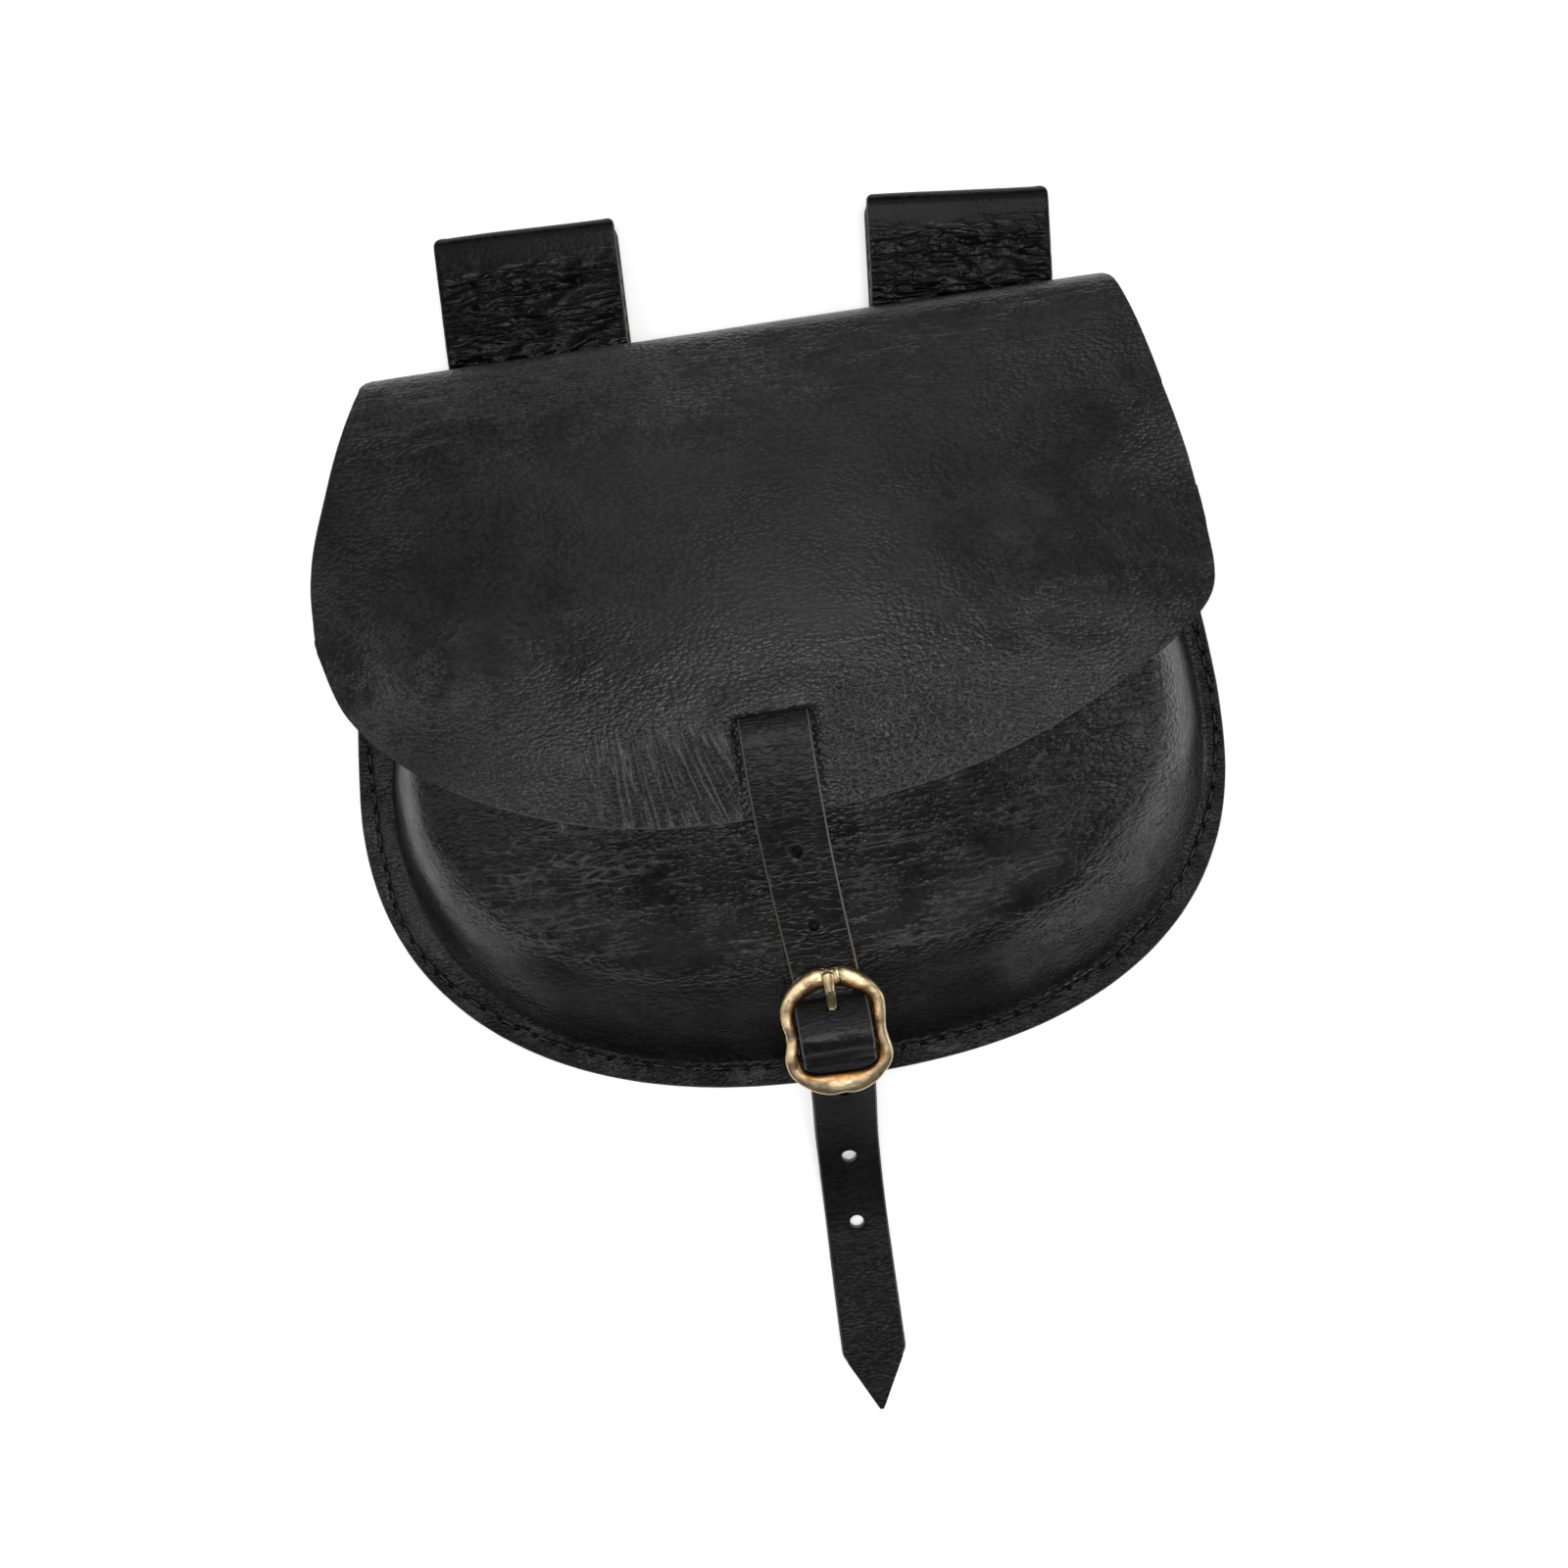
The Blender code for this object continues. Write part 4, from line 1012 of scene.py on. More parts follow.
@dataclass(frozen=True)
class BrassFinish:
    """Cast brass with a pale gold polish and random brown stains, with painted shade in brown on the frame's
    inner faces and undersides and the centre bar painted near-black as shade.
    """

    name: str = "cast_brass"
    bright: Triple = (0.62, 0.49, 0.30)
    # brown: random stains, and painted shade on the frame's inner faces and undersides
    stain_and_shade_brown: Triple = (0.22, 0.10, 0.030)
    # black: painted shade on the centre bar under the strap
    black: Triple = (0.016, 0.010, 0.006)
    lump_depth: float = 0.00012
    scratch_depth: float = 0.00001

    def build(self) -> Material:
        """Make the material.

        Returns:
            The material.
        """
        g = Graph(self.name)
        places = g.object_places()
        lumps = g.noise(places, 420.0, 2.0, 0.5)
        scratches = g.noise(g.object_places((1.0, 3.0, 1.0)), 2600.0, 3.0, 0.6)
        g.relief(g.plus(g.times(lumps, self.lump_depth), g.times(scratches, self.scratch_depth)))
        stain = g.spread(g.noise(places, 260.0, 3.0, 0.6), 0.42, 0.72, 0.0, 0.5)
        # Painted shade: brown on the frame's inner faces and undersides, near-black on the centre bar.
        brass = g.mixed(g.plus(stain, g.mark("shaded_faces")), self.bright, self.stain_and_shade_brown)
        g.give("Base Color", g.mixed(g.mark("dull"), brass, self.black))
        g.give("Roughness", g.spread(g.noise(places, 700.0, 3.0, 0.6), 0.3, 0.7, 0.26, 0.44))
        g.give("Metallic", 1.0)
        return g.material


@dataclass(frozen=True)
class ThreadFinish:
    """Waxed black sewing thread with a twist, on its flat map of turns and length."""

    name: str = "waxed_thread"
    dark: Triple = (0.003, 0.003, 0.003)
    light: Triple = (0.012, 0.011, 0.011)
    turns: float = 900.0
    strand_depth: float = 0.00004

    def build(self) -> Material:
        """Make the material.

        Returns:
            The material.
        """
        g = Graph(self.name)
        places = g.flat_places()
        parts = g.add("SeparateXYZ", {"Vector": places})
        slant = g.plus(parts.outputs[0], g.times(parts.outputs[1], self.turns))
        strands = g.math("SINE", g.times(slant, 2 * math.pi))
        g.relief(g.times(strands, self.strand_depth))
        share = g.spread(strands, -1.0, 1.0, 0.0, 1.0)
        g.give("Base Color", g.mixed(share, self.dark, self.light))
        g.give("Roughness", 0.48)
        return g.material


@dataclass(frozen=True)
class LeatherSet:
    """Grain side, flesh side and cut edge of one piece of leather."""

    grain: Material
    flesh: Material
    edge: Material

    @classmethod
    def of(cls, grain: LeatherFinish) -> "LeatherSet":
        """Finishes of a piece whose grain side is given.

        Args:
            grain: finish of the grain side.

        Returns:
            The three finishes.
        """
        flesh = bpy.data.materials.get(FleshFinish.name) or FleshFinish().build()
        edge = bpy.data.materials.get(EdgeFinish.name) or EdgeFinish().build()
        return cls(grain.build(), flesh, edge)

    def all(self) -> list[Material]:
        """The three, in the order of their indices."""
        return [self.grain, self.flesh, self.edge]


def arc_lengths(path: Array) -> Array:
    """Distance of each point along its line."""
    return np.concatenate(([0.0], np.cumsum(np.linalg.norm(np.diff(path, axis=0), axis=1))))


def respaced(path: Array, step: float, turn: float) -> Array:
    """Points along a line, closer together where it bends.

    Args:
        path: many points (y, z) of the line.
        step: distance between points on a straight run.
        turn: angle between points in a bend, where that is closer.

    Returns:
        The new points, with their distance along the line as a third column.
    """
    steps = np.diff(path, axis=0)
    lengths = np.linalg.norm(steps, axis=1)
    keep = lengths > 1e-7
    path = path[np.concatenate(([True], keep))]
    steps, lengths = steps[keep], lengths[keep]
    headings = np.unwrap(np.arctan2(steps[:, 1], steps[:, 0]))
    bends = np.abs(np.gradient(headings))
    spread = np.convolve(np.pad(bends, 4, mode="edge"), np.ones(9) / 9, mode="valid")
    measure = np.concatenate(([0.0], np.cumsum(lengths / step + spread / turn)))
    wanted = np.linspace(0.0, measure[-1], math.ceil(measure[-1]) + 1)
    along = np.interp(wanted, measure, arc_lengths(path))
    columns = [np.interp(wanted, measure, path[:, axis]) for axis in (0, 1)]
    return np.column_stack((*columns, along))


def bezier(corners: Sequence[Array], count: int) -> Array:
    """Points of the cubic curve with four corners, both ends among them.

    Args:
        corners: the four.
        count: how many points.

    Returns:
        The points.
    """
    t = np.linspace(0, 1, count)[:, None]
    first, second, third, last = (np.asarray(corner) for corner in corners)
    return (1 - t) ** 3 * first + 3 * t * (1 - t) ** 2 * second + 3 * t * t * (1 - t) * third + t**3 * last


@dataclass(frozen=True)
class BuckleForm:
    """Sizes of the buckle and its place, and the side view of what passes through it."""

    form: PouchForm = PouchForm()
    width: float = 0.0268
    length: float = 0.0328
    thickness: float = 0.0030
    bar: float = 0.0029
    tilt: float = math.radians(9)
    reach: float = 0.0093
    bar_diameter: float = 0.0025
    corner_reach: float = 0.0052
    tongue_width: float = 0.0026
    tongue_thickness: float = 0.0016
    strap_width: float = 0.0170
    leaves_front: float = -0.0595
    leaving_angle: float = math.radians(18)
    tail_angle: float = math.radians(42)
    tab_thickness: float = 0.0016
    bulge: float = math.radians(16)
    tongue_dip: float = 0.0014
    bar_row: int = 7
    drift: Curve = Curve((
        (0.07, -0.17), (-0.08, -0.17), (-0.18, -0.12), (-0.27, -0.04), (-0.34, 0.03), (-0.42, 0.06),
        (-0.48, 0.06), (-0.58, 0.0), (-0.76, -0.05), (-0.96, -0.08),
    ))
    outline: tuple[Triple, ...] = (
        (0.0, 1.0, 1.65), (0.28, 1.0, 1.75), (0.56, 0.9, 1.65), (0.78, 0.76, 1.38), (0.93, 0.555, 1.22),
        (0.97, 0.34, 1.15), (0.925, 0.13, 1.15), (0.92, -0.04, 1.15), (0.945, -0.2, 1.15),
        (0.985, -0.4, 1.12), (0.955, -0.615, 1.17), (0.785, -0.8, 1.25), (0.56, -0.91, 1.55),
        (0.28, -0.96, 1.98), (0.0, -0.95, 1.88),
    )

    def point(self, along: Numbers, above: Numbers) -> Array:
        """Side-view points from the buckle's own directions.

        Args:
            along: distance from the top bar, down the buckle.
            above: distance out of the buckle's middle plane.

        Returns:
            Points (y, z).
        """
        leave_z = float(self.form.face(0.0, self.leaves_front)) + self.clearance
        clear = self.support(self.tilt - self.leaving_angle) + self.clearance
        cos_leave, sin_leave = math.cos(self.leaving_angle), math.sin(self.leaving_angle)
        bar_y = self.leaves_front - cos_leave * self.reach - sin_leave * clear
        bar_z = leave_z - sin_leave * self.reach + cos_leave * clear
        cos_tilt, sin_tilt = math.cos(self.tilt), math.sin(self.tilt)
        along, above = np.asarray(along, float), np.asarray(above, float)
        y = bar_y - along * cos_tilt - above * sin_tilt
        return np.stack((y, bar_z - along * sin_tilt + above * cos_tilt), axis=-1)

    @property
    def clearance(self) -> float:
        """From a bar's surface to the middle of the strap that passes it."""
        return self.form.gap + self.form.strap_thickness / 2

    @property
    def wrap_radius(self) -> float:
        """Outer radius of the tab where it wraps the centre bar."""
        return self.bar_diameter / 2 + self.form.gap + self.tab_thickness

    @property
    def half_length(self) -> float:
        """Half the length of the buckle's middle line, from bar to bar."""
        return (self.length - self.bar * self.outline[0][2]) / 2

    @property
    def centre(self) -> float:
        """Where the centre bar lies, from the top bar."""
        return self.half_length * (1 - self.outline[self.bar_row][1])

    @property
    def bottom(self) -> float:
        """Where the bottom bar lies, from the top bar."""
        return self.half_length * (1 - self.outline[-1][1])

    @property
    def tongue_radius(self) -> float:
        """From the middle of the centre bar to the middle of the tongue bent round it."""
        return self.bar_diameter / 2 + self.form.gap + self.tongue_thickness / 2

    @property
    def tongue_level(self) -> float:
        """Height of the tongue's middle where it lies on the top bar."""
        return self.thickness / 2 + self.form.gap + self.tongue_thickness / 2

    def support(self, heading: Numbers) -> Array:
        """From the middle of a frame bar to a strap surface that touches it under its corners."""
        across = self.corner_reach * np.sin(heading)
        return np.hypot(across, self.thickness / 2 * np.cos(heading))

    def aside(self, y: Numbers) -> Array:
        """Sideways place of the strap's middle."""
        return self.strap_width * self.drift(np.asarray(y) / self.form.body_length)

    @property
    def middle(self) -> float:
        """Sideways place of the buckle's middle."""
        return float(self.aside(self.point(self.centre, 0.0)[0]))

    def add_box(self, bm: BMesh, size: Sequence[float], centre: Sequence[float]) -> None:
        """Add a box that is tilted as the buckle is, on its middle line.

        Args:
            bm: the mesh that it is added to.
            size: its width, its length along the buckle and its height.
            centre: its middle in side view (y, z).
        """
        cos_tilt, sin_tilt = math.cos(self.tilt), math.sin(self.tilt)
        for vertex in bmesh.ops.create_cube(bm, size=1.0)["verts"]:
            aside, along, above = (share * length for share, length in zip(vertex.co, size))
            y = centre[0] + along * cos_tilt - above * sin_tilt
            vertex.co = (self.middle + aside, y, centre[1] + along * sin_tilt + above * cos_tilt)

    def under_bar(self, place: float, start: float, end: float) -> Array:
        """Points of the strap bent under a frame bar, as its heading turns from start to end.

        Args:
            place: of the bar, from the top bar.
            start: first heading.
            end: last heading.

        Returns:
            Points (y, z).
        """
        heading = np.linspace(start, end, 61)
        support = self.support(heading)
        along = self.corner_reach**2 * np.sin(heading) / support + self.clearance * np.sin(heading)
        below = (self.thickness / 2) ** 2 * np.cos(heading) / support + self.clearance * np.cos(heading)
        return self.point(place + along, -below)

    def over_wrap(self, start: float, end: float) -> Array:
        """Points of the strap bent over the wrapped centre bar.

        Args:
            start: first heading.
            end: last heading.

        Returns:
            Points (y, z).
        """
        radius = self.wrap_radius + self.clearance
        heading = np.linspace(start, end, 61)
        return self.point(self.centre - radius * np.sin(heading), radius * np.cos(heading))

    def crossing(self, distance: float) -> float:
        """Heading of the strap where it runs straight between a frame bar and the centre bar.

        Args:
            distance: between the two bars.

        Returns:
            The angle to the buckle's plane.
        """
        heading = 0.5
        for _ in range(30):
            rise = float(self.support(heading)) + self.wrap_radius + 2 * self.clearance
            heading = math.asin(min(rise / distance, 0.99))
        return heading

    def weave(self) -> Array:
        """Middle of the strap through the buckle: under, over the centre bar and under again.

        Returns:
            Points (y, z).
        """
        up, down = self.crossing(self.centre), self.crossing(self.bottom - self.centre)
        first = self.under_bar(0.0, self.tilt - self.leaving_angle, up + self.bulge)
        roll = self.over_wrap(up - self.bulge, -down)
        last = self.under_bar(self.bottom, -down, self.tilt - self.tail_angle)
        way = np.linalg.norm(roll[0] - first[-1]) / 3
        ahead, behind = first[-1] - first[-2], roll[0] - roll[1]
        ahead, behind = first[-1] + way * unit(ahead), roll[0] + way * unit(behind)
        return np.concatenate((first, bezier((first[-1], ahead, behind, roll[0]), 41)[1:-1], roll, last))

    def tongue_line(self) -> Array:
        """Middle of the tongue from the top of the centre bar to its tip, as (along, above).

        Returns:
            The points.
        """
        tip = -self.bar * self.outline[0][2] / 2
        along = np.linspace(self.centre, tip, 90)[1:]
        edge = self.bar * self.outline[0][2] / 2
        share = np.clip((self.centre - along) / (self.centre - edge), 0.0, 1.0)
        level = self.tongue_radius + (self.tongue_level - self.tongue_radius) * smooth(share)
        return np.column_stack((along, level - self.tongue_dip * np.sin(math.pi * share**1.25) ** 2))

    def tongue_crossing(self) -> Array:
        """Side-view point where the tongue passes through the strap.

        Returns:
            The point (y, z).
        """
        line = self.tongue_line()
        tongue = self.point(line[:, 0], line[:, 1])
        strap = self.weave()
        apart = np.linalg.norm(tongue[:, None] - strap[None], axis=2)
        return tongue[np.unravel_index(apart.argmin(), apart.shape)[0]]


@dataclass(frozen=True)
class BackAndFlap:
    """Back panel and flap, one sheet folded over at the top, with the slit for the strap."""

    form: PouchForm
    buckle: BuckleForm
    back_rows: int = 10
    fold_rows: int = 14
    upper_rows: int = 28
    lower_rows: int = 66
    slit_length: float = 0.0026
    slit_back: float = -0.0006
    slit_slope: float = math.radians(50)
    lip_rise: float = 0.0012
    lip_reach: float = 0.011
    bed_side: float = 0.0026
    lip_side: float = 0.0080
    strap_gap: float = 0.0004
    fan_lean: float = 0.36
    fan_leaning: Fade = Fade(-0.050, 0.036)
    fan_from: Fade = Fade(-0.056, 0.018)
    fan_to: Fade = Fade(-0.0115, -0.004)
    fan_below: Fade = Fade(0.004, -0.014)
    fan_cells: Cells = Cells(1.0, (0.0026, 0.0260), 3.3)
    fan_small_cells: Cells = Cells(0.4, (0.0015, 0.0020), 6.1)
    fan_height: float = 0.00030
    crinkle_from: Fade = Fade(0.008, 0.004)
    crinkle_to: Fade = Fade(0.062, -0.026)
    crinkle_below: Fade = Fade(0.012, -0.016)
    crinkle_cells: Cells = Cells(1.0, (0.0022, 0.0020), 9.4)
    crinkle_small_cells: Cells = Cells(0.4, (0.0013, 0.0012), 2.2)
    crinkle_height: float = 0.00022
    far_left: Fade = Fade(-0.052, -0.01)
    far_below: Fade = Fade(0.008, -0.02)
    clouds: Waves = Waves(0.5, (0.030, 0.030, 0.030), 4.1)
    grain_below: Fade = Fade(0.030, -0.045)
    grain_above: Fade = Fade(0.062, 0.025)
    grain_left: Fade = Fade(0.03, -0.06)
    grain_spot: Spot = Spot(-0.095, 0.012, 0.035, 0.03, 0.5)
    grain_cells: Cells = Cells(1.0, (0.0024, 0.0021), 5.9)
    grain_cells_below: Fade = Fade(0.006, -0.02)
    crest: Fade = Fade(0.060, 0.030)
    crease_below: Fade = Fade(0.045, -0.04)
    corner_left: Fade = Fade(-0.058, -0.03)
    corner_above: Fade = Fade(0.078, 0.014)
    waves: tuple[Waves, Waves] = (
        Waves(0.00016, (0.034, 0.026, 0.030), 1.7),
        Waves(0.00006, (0.008, 0.006, 0.007), 8.3),
    )
    back_waves: Waves = Waves(0.00006, (0.02, 0.02, 0.02), 5.5)
    off_strap: Fade = Fade(0.0004, 0.0016)
    edge: float = 0.00045
    grain: LeatherFinish = LeatherFinish(
        "leather_flap",
        # Painted light: the flap's colours are lighter than the front's, standing in for the front lying in
        # shade below it.
        dark=(0.0075, 0.0072, 0.0073),
        light=(0.0195, 0.0188, 0.0189),
        shine=0.52,
        gloss=(0.24, 0.40),
        grain_depth=0.00025,
        fan_depth=0.00030,
        # Ridges of the fan painted lighter, partly wear and partly painted highlight.
        rub_highlight=0.85,
    )
    flat_size: tuple[float, float] = (0.245, 0.353)
    flat_area: float = 0.0732
    worn: tuple[Spot, ...] = (
        Spot(-0.102, 0.066, 0.022, 0.026, 0.50),
        Spot(-0.112, 0.064, 0.012, 0.022, 0.40),
        Spot(-0.062, 0.083, 0.034, 0.013, 0.55),
        Spot(-0.090, -0.001, 0.018, 0.010, 0.45),
        Spot(0.074, 0.034, 0.022, 0.022, -0.28),
        Spot(-0.077, 0.026, 0.030, 0.020, -0.30),
        Spot(0.060, 0.026, 0.026, 0.020, -0.32),
        Spot(-0.005, 0.035, 0.030, 0.020, 0.12),
        Spot(0.096, 0.076, 0.020, 0.012, 0.28),
        Spot(0.102, -0.002, 0.014, 0.012, 0.35),
    )

    def rows(self) -> list[tuple[Zone, float]]:
        """Rows of the sheet, from the bottom edge round to the flap's edge.

        Returns:
            Each row's zone, and its share of that zone.
        """
        rows = [(Zone.BACK, share) for share in np.linspace(1, 0, self.back_rows + 1)[:-1]]
        rows += [(Zone.FOLD, share) for share in np.linspace(0, 1, self.fold_rows + 1)[:-1]]
        rows += [(Zone.FLAP, share) for share in np.linspace(0, 0.68, self.upper_rows + 1)[:-1]]
        return rows + [(Zone.FLAP, share) for share in np.linspace(0.68, 1, self.lower_rows + 1)]

    def columns(self) -> Array:
        """Columns of the sheet, from its left side to its right, closest by the strap.

        Returns:
            Places from -1 to 1.
        """
        left = np.linspace(-1, -0.47, 40, endpoint=False)
        middle = np.linspace(-0.47, 0.40, 290, endpoint=False)
        return np.concatenate((left, middle, np.linspace(0.40, 1, 36)))

    def skin(self) -> Skin:
        """Outer side of the sheet, with its folds and its marks.

        Returns:
            The skin.
        """
        rows, across = self.rows(), self.columns()
        makers = {Zone.BACK: self.form.back_point, Zone.FOLD: self.form.fold_point}
        makers[Zone.FLAP] = self.form.flap_point
        grid = [makers[zone](np.full_like(across, share), across) for zone, share in rows]
        skin = Skin(np.stack(grid), outward=-1)
        on_flap = np.array([{Zone.BACK: 0.0, Zone.FOLD: share, Zone.FLAP: 1.0}[z] for z, share in rows])
        on_flap = np.broadcast_to(on_flap[:, None], skin.points.shape[:2])
        skin.marks = self.marks(skin.points, on_flap)
        skin.raised(self.folds(skin.points, on_flap))
        return skin

    def marks(self, points: Array, on_flap: Array) -> dict[str, Array]:
        """How strong the grain and the creases are.

        Args:
            points: the sheet's points.
            on_flap: 1 at points of the flap, 0 at those of the back panel.

        Returns:
            The marks by their names, at each point.
        """
        x, y = points[..., 0], points[..., 1]
        cloud = 0.5 + self.clouds(points)
        grain = 0.25 + 0.85 * self.grain_below(y) + 0.25 * cloud
        grain += 0.7 * self.grain_above(y) * self.grain_left(x)
        crest = self.crest(y)
        crease = 0.05 + 0.18 * cloud * self.crease_below(y) + 0.16 * crest
        crease += 0.35 * crest * bell(x + 0.085, 0.025)
        fan, crinkle = self.fan_and_crinkle(x, y)
        dull = sum(spot(x, y) for spot in self.worn) + 0.45 * fan + 0.15 * crinkle
        far = self.far_left(x) * self.far_below(y)
        return {
            "grain": (grain + self.grain_spot(x, y)) * on_flap + 0.6 * (1 - on_flap),
            "crease": crease * on_flap + 0.25 * (1 - on_flap),
            "dull": dull * on_flap,
            "fan": fan * on_flap,
            "crinkle": (1.25 * crinkle + 0.25 * far) * on_flap,
            "aslant": self.aslant(x, y),
        }

    def aslant(self, x: Array, y: Array) -> Array:
        """Sideways place in the fan of ridges, which lean towards the strap as they run down."""
        return x + self.fan_lean * self.fan_leaning(x) * (y - self.form.flap_tip)

    def fan_and_crinkle(self, x: Array, y: Array) -> tuple[Array, Array]:
        """How strong the ridges left of the strap and the small ones right of it are."""
        fan = self.fan_from(x) * self.fan_to(x) * self.fan_below(y)
        return fan, self.crinkle_from(x) * self.crinkle_to(x) * self.crinkle_below(y)

    def folds(self, points: Array, on_flap: Array) -> Array:
        """Height of the sheet's own dents, wrinkles and lips over its plain form.

        Args:
            points: the sheet's points.
            on_flap: 1 at points of the flap, 0 at those of the back panel.

        Returns:
            The height at each point.
        """
        x, y = points[..., 0], points[..., 1]
        plan, fan = points[..., :2], np.stack((self.aslant(x, y), y), axis=-1)
        wrinkle = 1.3 - self.fan_cells(fan) - self.fan_small_cells(plan)
        crinkle = 1.2 - self.crinkle_cells(plan) - self.crinkle_small_cells(plan)
        fan_on, crinkle_on = self.fan_and_crinkle(x, y)
        grain = 0.00012 * (self.grain_cells(plan) - 0.5) * self.grain_cells_below(y) * (1 - crinkle_on)
        corner = self.corner_left(x) * self.corner_above(y)
        grain += 0.00014 * corner * ridges(plan, (0.0036, 0.0130), 7.4)
        total = self.fan_height * wrinkle * fan_on + self.crinkle_height * crinkle * crinkle_on + grain
        beside = np.abs(x - self.buckle.aside(y)) - self.buckle.strap_width / 2
        total = sum(waves(points) for waves in self.waves) + total * self.off_strap(beside)
        total += self.strap_bed(y, beside) * (y < 0.02)
        flat_back = -self.back_waves.height - self.back_waves(points)
        return total * on_flap * on_flap + flat_back * (1 - on_flap)

    def strap_bed(self, y: Array, beside: Array) -> Array:
        """Height of the lip over the strap's hidden part, and of the bed that the strap presses in.

        Args:
            y: place along the pouch.
            beside: distance outwards from the strap's side.

        Returns:
            The height, negative in the bed.
        """
        below = smooth((self.form.slit_place - y) / self.slit_length + 0.5)
        lip = self.lip_rise * smooth((self.form.slit_place + self.lip_reach - y) / self.lip_reach)
        lip *= (1 - below) * smooth((self.lip_side - beside) / self.lip_side)
        pressed = self.form.pressed(np.maximum(y, self.form.flap_tip))
        return lip - pressed * below * smooth((self.bed_side - beside) / self.bed_side)

    def build(self) -> Piece:
        """Build the sheet and dress it.

        Returns:
            The finished piece.
        """
        leather = LeatherSet.of(self.grain)
        piece = add_piece("back_and_flap_leather", self.skin().mesh(), leather.all())
        give_thickness(piece, self.form.leather, self.edge)
        cut(piece, self.slit(), leather.edge)
        dress(piece, Slot.LEATHER, "back_and_flap")
        return piece

    def slit(self) -> BMesh:
        """Cutter of the slit, sloped as the strap that comes out of it.

        Returns:
            The cutter's mesh.
        """
        y = self.form.slit_place
        z = float(self.form.flap_height(np.array(0.0), np.array(y))) - self.form.leather / 2
        bm = bmesh.new()
        bmesh.ops.create_cube(bm, size=1.0)
        for vertex in bm.verts:
            x = vertex.co.x * (self.buckle.strap_width + 2 * self.strap_gap)
            above = vertex.co.z * 4 * self.form.leather
            back = self.slit_back + vertex.co.y * self.slit_length - above / math.tan(self.slit_slope)
            vertex.co = (x + float(self.buckle.aside(y)), y + back, z + above)
        return bm


@dataclass(frozen=True)
class SeamLine:
    """Line of stitches round the flange."""

    form: PouchForm
    inset: Curve = Curve((
        (0.0, 0.004), (0.12, 0.003), (0.19, 0.0031), (0.22, 0.0037), (0.25, 0.0044), (0.275, 0.0042),
        (0.3, 0.0029), (0.33, 0.0031), (0.355, 0.004), (0.42, 0.005), (0.5, 0.0054), (0.6, 0.0054),
        (0.675, 0.0052), (0.71, 0.0037), (0.745, 0.0021), (0.8, 0.0025), (0.9, 0.0026), (1.0, 0.0026),
    ))

    def edge(self, place: Array) -> Array:
        """Points of the body's edge from the left end of the mouth (0) round the bottom to the right (1).

        Args:
            place: share of the way round, 0 to 1.

        Returns:
            Points (x, y).
        """
        side = np.minimum(place, 1 - place) * 4
        y = self.form.mouth + (self.form.body_widest - self.form.mouth) * np.minimum(side, 1.0)
        sign = np.where(place < 0.5, -1.0, 1.0)
        straight = np.stack((sign * self.form.half_width(y) + self.form.shift(y), y), axis=-1)
        angle = np.clip((place - 0.25) / 0.5 - 0.5, -0.5, 0.5) * math.pi
        depth = self.form.body_widest + self.form.crest
        x, drop = self.form.lower_edge(self.form.body_width / 2, depth, angle)
        round_part = np.stack((x, self.form.body_widest + drop), axis=-1)
        return np.where((side < 1.0)[..., None], straight, round_part)

    def ray(self, place: Array) -> Array:
        """Way from each edge point to the middle of the mouth."""
        pole = np.array((float(self.form.shift(self.form.mouth)), self.form.mouth))
        return pole - self.edge(place)

    def inset_along_ray(self, place: Array) -> Array:
        """Distance from the edge to the seam, along the ray.

        Args:
            place: share of the way round, 0 to 1.

        Returns:
            The distances.
        """
        step = 1e-3
        ahead = self.edge(np.minimum(place + step, 1.0)) - self.edge(np.maximum(place - step, 0.0))
        square = np.stack((-ahead[..., 1], ahead[..., 0]), axis=-1)
        across = np.abs((unit(self.ray(place)) * unit(square)).sum(axis=-1))
        return self.inset(place) / across

    def points(self, place: Array) -> Array:
        """Points of the seam in plan.

        Args:
            place: share of the way round, 0 to 1.

        Returns:
            Points (x, y).
        """
        ray = self.ray(place)
        length = np.linalg.norm(ray, axis=-1)
        return self.edge(place) + ray * (self.inset_along_ray(place) / length)[..., None]


